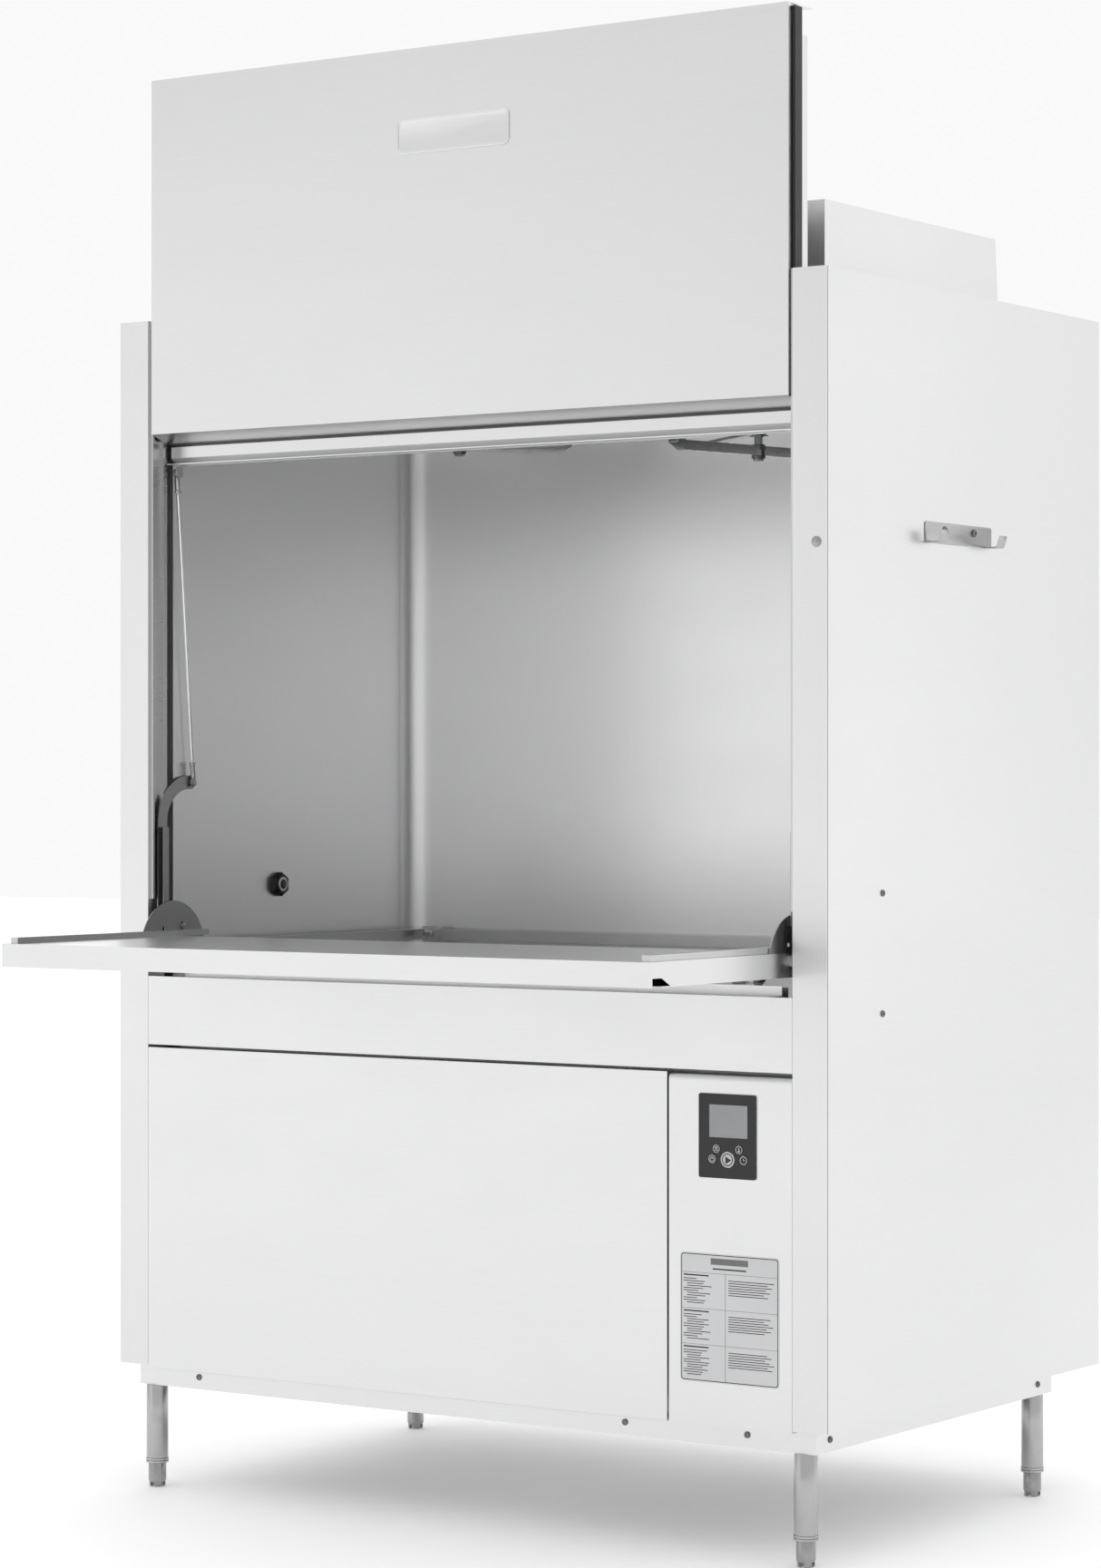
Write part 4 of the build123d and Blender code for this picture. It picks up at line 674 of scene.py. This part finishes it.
badge_half_width, badge_height, badge_drop = 124 * MM, 65 * MM, 126.5 * MM
badge_proud, badge_sunk = 2.6 * MM, 0.4 * MM
badge_corner, badge_rim, badge_recess = 12 * MM, 4 * MM, 1.8 * MM

low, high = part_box("upper_door_skin")
badge_top = high.z - badge_drop
badge = block("door_badge", (-badge_half_width, low.y - badge_proud, badge_top - badge_height),
              (badge_half_width, low.y + badge_sunk, badge_top))
rounded_corners(badge, 1, badge_corner, 6)
push(badge, lambda middle, normal: normal.y < -ALONG, -badge_recess, badge_rim)
dressed(eased(badge, 0.9 * MM, 3), "door_steel", "upper_door")

# ---------------------------------------------------------------- keypad

display_edge = 1.6 * MM
display_proud, display_sunk, pane_reach = 0.25 * MM, 0.4 * MM, 5 * MM

key_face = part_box("keypad_fascia")[0].y
low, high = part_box("display_window")
surround = block("display_frame", (low.x - display_edge, key_face - display_proud, low.z - display_edge),
                 (high.x + display_edge, key_face + display_sunk, high.z + display_edge))
bored(surround, [block("pane_gap", (low.x, key_face - pane_reach, low.z), (high.x, key_face + pane_reach, high.z))])
dressed(eased(surround, 0.15 * MM), "keypad_black", "root")


def key_icon(name, x, z, front, radius):
    """Raised marks of a key: a play triangle, bars, a dial, a switch mark or clock hands."""
    back = front + 0.3 * MM
    lift = front - 0.12 * MM
    unit = radius / 10

    def slab(left, foot, right, top):
        return block("mark", (x + unit * left, lift, z + unit * foot), (x + unit * right, back, z + unit * top))

    def disc(across, rise, wide, sides, over=0.0):
        start = (x + unit * across, back + over, z + unit * rise)
        return round_bar("mark", start, (start[0], lift - over, start[2]), unit * wide, sides)

    if name == "start_key":
        return [disc(0.6, 0, 5.6, 3)]
    if name == "program_key":
        return [slab(-4, row, 4, row + 1.1) for row in (-3.6, -1.2, 1.2, 3.2)]
    if name == "temperature_key":
        return [slab(-0.9, -3, 0.9, 4.6), disc(0, -3, 2.2, 20)]
    if name == "power_key":
        return [slab(-0.7, 0, 0.7, 5), bored(disc(0, -0.6, 4.6, 32), [disc(0, -0.6, 3.4, 32, 1 * MM)])]
    return [slab(-0.6, 0, 0.6, 4.4), slab(0, -0.6, 3.6, 0.6)]


cap_chamfer, cap_chamfer_depth = 0.25 * MM, 0.3 * MM
ring_sunk, ring_proud, ring_cut = 0.3 * MM, 0.1 * MM, 10 * MM
ring_outer, ring_inner = 0.80, 0.68             # shares of the key's radius

for name in ("start_key", "program_key", "temperature_key", "power_key", "timer_key"):
    cap_finish, mark_finish = "keypad_black", "key_plastic"
    if name == "start_key":
        cap_finish, mark_finish = mark_finish, cap_finish
    low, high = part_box(name)
    x, z = (low.x + high.x) / 2, (low.z + high.z) / 2
    radius = (high.x - low.x) / 2
    cap = turned(f"{name}_cap", (x, high.y, z), (0, -1, 0),
                 [(radius, high.y - low.y - cap_chamfer_depth), (radius - cap_chamfer, cap_chamfer_depth)], 48)
    dressed(eased(cap, 0.1 * MM), cap_finish, name)
    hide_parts(name)
    ring = round_bar(f"{name}_ring", (x, low.y + ring_sunk, z), (x, low.y - ring_proud, z), radius * ring_outer, 48)
    bored(ring, [round_bar("gap", (x, low.y + ring_cut, z), (x, low.y - ring_cut, z), radius * ring_inner, 48)])
    dressed(ring, mark_finish, name)
    mark = joined(key_icon(name, x, z, low.y, radius), f"{name}_mark")
    if name == "start_key":
        mark.data.transform(spin_matrix(90, "Y", (x, 0, z)))
    dressed(mark, mark_finish, name)

# ---------------------------------------------------------------- instruction plate

plate_thickness, plate_corner = 0.5 * MM, 7 * MM
ink_proud, ink_sunk = 0.06 * MM, 0.1 * MM
outline_edge, outline_corner = 2 * MM, 5.5 * MM
window_edge, window_corner, window_reach = 3.4 * MM, 4.5 * MM, 10 * MM

cover_low, cover_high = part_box("control_panel_cover")
cover_front = cover_low.y
plate_front = cover_front - plate_thickness
plate_x = (cover_low.x + 23.5 * MM, cover_high.x - 25.5 * MM)
plate_z = (cover_low.z + 74 * MM, cover_low.z + 297 * MM)


def plate_block(name, edge, front, rear):
    """A block in front of the cover, set in from the plate's edges."""
    return block(name, (plate_x[0] + edge, front, plate_z[0] + edge), (plate_x[1] - edge, rear, plate_z[1] - edge))


def printed(name, low_x, high_x, low_z, high_z, finish="ink"):
    """A printed bar, a hair above the plate."""
    bar = block(name, (low_x, plate_front - ink_proud, low_z), (high_x, plate_front + ink_sunk, high_z))
    return dressed(bar, finish, "root")


plate = rounded_corners(plate_block("instruction_plate", 0, plate_front, cover_front), 1, plate_corner)
dressed(eased(plate, 0.12 * MM), "label_stock", "root")
outline = plate_block("plate_outline", outline_edge, plate_front - ink_proud, plate_front + ink_sunk)
rounded_corners(outline, 1, outline_corner)
window = plate_block("plate_window", window_edge, plate_front - window_reach, plate_front + window_reach)
rounded_corners(window, 1, window_corner)
dressed(bored(outline, [window]), "ink", "root")

sections, section_rows, right_rows = 3, 11, 7
heading_band = 34 * MM                          # plate height above the first section
rule_inset, rule_width = 2.5 * MM, 0.5 * MM
row_first, row_step, row_height, row_margin = 10.5, 4.15, 1.4 * MM, 2 * MM
split_x = plate_x[0] + 0.46 * (plate_x[1] - plate_x[0])
section_top = plate_z[1] - heading_band
section_height = (section_top - plate_z[0] - 3 * MM) / sections

printed("header_band", plate_x[0] + 62 * MM, plate_x[1] - 62 * MM, plate_z[1] - 19 * MM, plate_z[1] - 8 * MM,
        "ink_grey")
printed("header_line", plate_x[0] + 66 * MM, plate_x[1] - 66 * MM, plate_z[1] - 27.5 * MM, plate_z[1] - 25 * MM)
printed("middle_rule", split_x - 0.3 * MM, split_x + 0.3 * MM, plate_z[0] + rule_inset, section_top)
for section in range(sections):
    top = section_top - section * section_height
    printed(f"rule_{section}", plate_x[0] + rule_inset, plate_x[1] - rule_inset, top - rule_width, top)
    printed(f"heading_{section}", plate_x[0] + 7 * MM, plate_x[0] + 58 * MM, top - 6.2 * MM, top - 3.8 * MM)
    for row in range(section_rows):
        z = top - (row_first + row * row_step) * MM
        if z - row_margin < top - section_height:
            break
        start = plate_x[0] + (7 if row % 4 < 2 else 14) * MM
        end = start + (26 + (row * 17 + section * 11) % 27) * MM
        printed(f"left_{section}_{row}", start, end, z - row_height, z)
        if row < right_rows:
            reach = plate_x[1] - (10 + (row * 13 + section * 7) % 22) * MM
            printed(f"right_{section}_{row}", split_x + 6 * MM, reach, z - row_height, z)

# ---------------------------------------------------------------- utensil hooks

hook_plate, hook_width, hook_corner = 2 * MM, 30 * MM, 5 * MM
hook_bend = 9 * MM                              # from where the tongue starts to rise, to its tip
hook_rises = ((3.4, 2.2), (3.0, 9.0), (2.2, 9.0))
hook_screw_radius, hook_screw_height = 7 * MM, 3 * MM
hook_screw_rise, hook_screw_front, hook_screw_back = 25 * MM, 71 * MM, 66 * MM

low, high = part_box("hook_bracket")
strip = block("hook_plate", (low.x, low.y, low.z), (low.x + hook_plate, high.y, high.z))
rounded_corners(strip, 0, hook_corner)
dressed(eased(strip, 0.5 * MM), "hook_steel", "root")
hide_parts("hook_bracket")
for count, start in enumerate((low.y, high.y - hook_width), 1):
    hook = block(f"utensil_hook_{count}", (low.x + hook_plate, start, low.z),
                 (high.x - hook_bend, start + hook_width, low.z + hook_plate))
    choose(hook, "faces", lambda middle, normal: normal.x > ALONG)
    for out, up in hook_rises:
        bpy.ops.mesh.extrude_region_move(TRANSFORM_OT_translate={"value": (out * MM, 0, up * MM)})
    close(hook)
    dressed(eased(hook, 0.5 * MM, 2, 25), "hook_steel", "root")
for count, y in enumerate((low.y + hook_screw_front, high.y - hook_screw_back), 1):
    screw(f"hook_screw_{count}", (low.x + hook_plate, y, low.z + hook_screw_rise), (1, 0, 0),
          hook_screw_radius, hook_screw_height)

# ---------------------------------------------------------------- wall port

# Lengths along the port are shares of how far the whole fitting stands out.
low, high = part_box("wall_port_fitting")
centre = (low + high) / 2
depth = high.x - low.x


def port_part(name, start, profile, sides):
    """A turned part of the port, from a share of its depth, with (radius in mm, share) steps."""
    return turned(name, (low.x + depth * start, centre.y, centre.z), (1, 0, 0),
                  [(radius * MM, depth * share) for radius, share in profile], sides)


port = port_part("port_hexagon", 0, ((24, 0.6), (21.5, 0.1)), 6)
dressed(eased(port, 0.8 * MM), "cast_fittings", "root")
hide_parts("wall_port_fitting")
collar = port_part("port_collar", 0.68, ((14.5, 0.06), (13.5, 0.04)), 40)
push(collar, lambda middle, normal: normal.x > ALONG and middle.x > low.x + depth * 0.75, -depth * 0.08, 4 * MM)
dressed(eased(collar, 0.3 * MM), "tube_steel", "root")
nozzle = port_part("port_nozzle", 0.62, ((9, 0.14), (7, 0.02)), 24)
dressed(eased(nozzle, 0.3 * MM), "slide_plastic", "root")

# ---------------------------------------------------------------- spray arms

joint_places = {joint["child"]: Vector(joint["pos_m"]) for joint in frame["record"]["behaviour"]["joints"]
                if "pos_m" in joint}


def about(name, centre, half_length, half_width, low_z, high_z):
    """A block that lies along X, centred on a joint."""
    return block(name, centre + Vector((-half_length, -half_width, low_z)),
                 centre + Vector((half_length, half_width, high_z)))


arm_turns = {"upper_wash_arm_left": 49, "upper_wash_arm_right": 77, "lower_wash_arm_left": 83,
             "lower_wash_arm_right": 111}
arm_half_length, arm_half_width, arm_half_height = 200 * MM, 12 * MM, 9 * MM
tip_out, tip_up, tip_wall, tip_recess = 23 * MM, 13 * MM, 2.2 * MM, 2 * MM
slot_spots = (-170, -130, -90, -50, 60, 100, 140, 180)
slot_half, slot_slant = (2 * MM, 8 * MM, 3 * MM), 20
hub_foot = 15 * MM
hub_profile = steps((11.6, 1.5), (13, 4), (13, 12), (14.5, 5), (12, 4.5))
nut_below, nut_above, nut_radius, nut_height = 15.6 * MM, 12.6 * MM, 9 * MM, 3.2 * MM

for node, turn in arm_turns.items():
    centre = joint_places[node]
    face = -1 if node.startswith("upper") else 1
    tube = about(f"{node}_tube", centre, arm_half_length, arm_half_width, -arm_half_height, arm_half_height)
    for end in (-1, 1):
        choose(tube, "faces", lambda middle, normal: normal.x * end > ALONG)
        bpy.ops.mesh.extrude_region_move(TRANSFORM_OT_translate={"value": (end * tip_out, 0, tip_up)})
        close(tube)
        push(tube, lambda middle, normal: normal.x * end > ALONG and
             abs(middle.x - centre.x) > arm_half_length + 10 * MM, -tip_recess, tip_wall)
    slots = []
    for spot in slot_spots:
        middle = centre + Vector((spot * MM, 0, face * arm_half_height))
        slot_blank = block("slot", middle - Vector(slot_half), middle + Vector(slot_half))
        slot_blank.data.transform(spin_matrix(slot_slant if spot > 0 else -slot_slant, "Z", middle))
        slots.append(slot_blank)
    bored(tube, slots)
    tube.data.transform(spin_matrix(turn, "Z", centre))
    dressed(eased(tube, 1.2 * MM, 3), "tube_steel", node)
    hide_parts(node)
    hub = turned(f"{node}_hub", centre + Vector((0, 0, -hub_foot)), (0, 0, 1), hub_profile, 36)
    dressed(eased(hub, 0.5 * MM), "hub_dark", node)
    nut_place = centre + Vector((0, 0, -nut_below if face < 0 else nut_above))
    hexagon(f"{node}_nut", nut_place, (0, 0, face), nut_radius, nut_height, "hub_dark", "root")

rinse_turn = 66.5                               # degrees from the wash arm below it
rinse_half_length, rinse_half_width, rinse_half_height = 315 * MM, 11 * MM, 3 * MM
rinse_corner = 10.5 * MM
hole_spots, hole_radius, hole_reach = (-290, -220, -150, -80, 80, 150, 220, 290), 3 * MM, Vector((0, 0, 10 * MM))
rinse_hub_foot, rinse_hub_profile = 4.5 * MM, steps((14, 6), (12.5, 3))
clip_half_length, clip_half_width, clip_low, clip_high = 19 * MM, 4 * MM, -7 * MM, -5.2 * MM

for node in ("upper_rinse_arm_left", "upper_rinse_arm_right"):
    centre = joint_places[node]
    turn = arm_turns[node.replace("rinse", "wash")] + rinse_turn
    bar = about(f"{node}_bar", centre, rinse_half_length, rinse_half_width, -rinse_half_height, rinse_half_height)
    rounded_corners(bar, 2, rinse_corner, 6)
    holes = []
    for spot in hole_spots:
        middle = centre + Vector((spot * MM, 0, 0))
        holes.append(round_bar("hole", middle - hole_reach, middle + hole_reach, hole_radius, 16))
    bored(bar, holes)
    bar.data.transform(spin_matrix(turn, "Z", centre))
    dressed(eased(bar, 0.6 * MM), "tube_steel", node)
    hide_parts(node)
    hub = turned(f"{node}_hub", centre + Vector((0, 0, -rinse_hub_foot)), (0, 0, 1), rinse_hub_profile, 32)
    dressed(eased(hub, 0.4 * MM), "hub_dark", node)
    wing = about(f"{node}_clip", centre, clip_half_length, clip_half_width, clip_low, clip_high)
    push(wing, lambda middle, normal: abs(normal.x) > ALONG, 3 * MM, 0, 0.5)
    dressed(eased(wing, 0.5 * MM), "hub_dark", "root")

# ---------------------------------------------------------------- door linkage

crank_back, crank_up = 86 * MM, 306 * MM        # ball joint from the lower door's hinge
rod_end_half = 5 * MM                           # from the rod's middle line to the outside of its ends
rod_start, rod_ends = 36 * MM, 85 * MM
thread_radius, thread_length, rod_radius, rod_taper = 2.6 * MM, 6 * MM, 3.5 * MM, 0.4 * MM
sleeve_start, sleeve_profile = 6 * MM, steps((4.2, 4), (5, 2), (5, 20), (4, 1))
jam_start, jam_radius, jam_height = 33.5 * MM, 6.2 * MM, 4.2 * MM
eye_half, eye_profile = 3 * MM, steps((7, 0.8), (8, 0.6), (8, 3.2), (7, 1.4))
stud_profile = steps((3.6, 0.7), (4.5, 1.2))

low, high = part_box("tie_rods")
rod_x = high.x - rod_end_half
rod_top = Vector((0, joint_places["tie_rods"].y, joint_places["tie_rods"].z))
hinge = joint_places["lower_door"]
rod_foot = Vector((0, hinge.y + crank_back, hinge.z + crank_up))
along = (rod_foot - rod_top).normalized()
for label, side in (("left", -1), ("right", 1)):
    shift = Vector((side * rod_x, 0, 0))
    top, foot = rod_top + shift, rod_foot + shift
    rod = turned(f"tie_rod_{label}", top + along * rod_start, along,
                 [(thread_radius, thread_length), (rod_radius, rod_taper),
                  (rod_radius, (foot - top).length - rod_ends), (thread_radius, thread_length)], 24)
    dressed(eased(rod, 0.2 * MM), "rod_bright", "tie_rods")
    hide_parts("tie_rods")
    for end, at, way in (("upper", top, along), ("lower", foot, -along)):
        sleeve = turned(f"rod_end_{end}_{label}", at + way * sleeve_start, way, sleeve_profile, 24)
        dressed(eased(sleeve, 0.3 * MM), "fasteners", "tie_rods")
        hexagon(f"jam_nut_{end}_{label}", at + way * jam_start, way, jam_radius, jam_height, "fasteners",
                "tie_rods")
        eye = turned(f"ball_housing_{end}_{label}", at + Vector((-eye_half, 0, 0)), (1, 0, 0), eye_profile, 32)
        dressed(eased(eye, 0.3 * MM), "fasteners", "tie_rods")
    stud = turned(f"ball_stud_{label}", foot + Vector((side * eye_half, 0, 0)), (side, 0, 0), stud_profile, 24)
    dressed(eased(stud, 0.2 * MM), "fasteners", "tie_rods")

# ---------------------------------------------------------------- bolts of the cheeks, rack track and shelf

cheek_thickness, cheek_bolt_back, cheek_bolt_up = 3.9 * MM, 46 * MM, 33 * MM
for count, (low, high) in enumerate(solids_of("door_cheeks"), 1):
    side = math.copysign(1, low.x)
    inner = low.x if side > 0 else high.x
    bolt_place = (inner + side * cheek_thickness, hinge.y + cheek_bolt_back, hinge.z + cheek_bolt_up)
    hexagon(f"cheek_bolt_{count}", bolt_place, (-side, 0, 0), 7.4 * MM, 3.6 * MM, "fasteners", "lower_door")

track_bolt_inset = Vector((52 * MM, 24 * MM, 14 * MM))
track_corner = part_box("rack_track")[1] - track_bolt_inset
for count, side in enumerate((-1, 1), 1):
    hexagon(f"track_bolt_{count}", (side * track_corner.x, track_corner.y, track_corner.z), (0, -1, 0), 9 * MM,
            5 * MM, "fasteners", "root")

shelf_nut_inset = 110 * MM
pan_low, pan_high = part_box("lower_door_pan")
for count, x in enumerate((-0.42, -0.14, 0.14, 0.42, 0.66), 1):
    hexagon(f"shelf_nut_{count}", (x, pan_high.y - shelf_nut_inset, pan_low.z), (0, 0, -1), 7 * MM, 5 * MM,
            "fasteners", "lower_door")

# ---------------------------------------------------------------- counterbalance cables

for node, body in (("door_cable_runs", "upper_door"), ("weight_cable_runs", "counterweight")):
    for count, (low, high) in enumerate(solids_of(node), 1):
        x, y = (low.x + high.x) / 2, (low.y + high.y) / 2
        run = round_bar(f"{node}_{count}", (x, y, low.z), (x, y, high.z), (high.x - low.x) / 2, 12)
        choose(run, "edges", lambda middle, way: abs(way.z) > ALONG)
        bpy.ops.mesh.subdivide(number_cuts=24)
        close(run)
        run.data.materials.clear()
        run.data.materials.append(finishes["cable"])
        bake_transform(run)
        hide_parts(node)
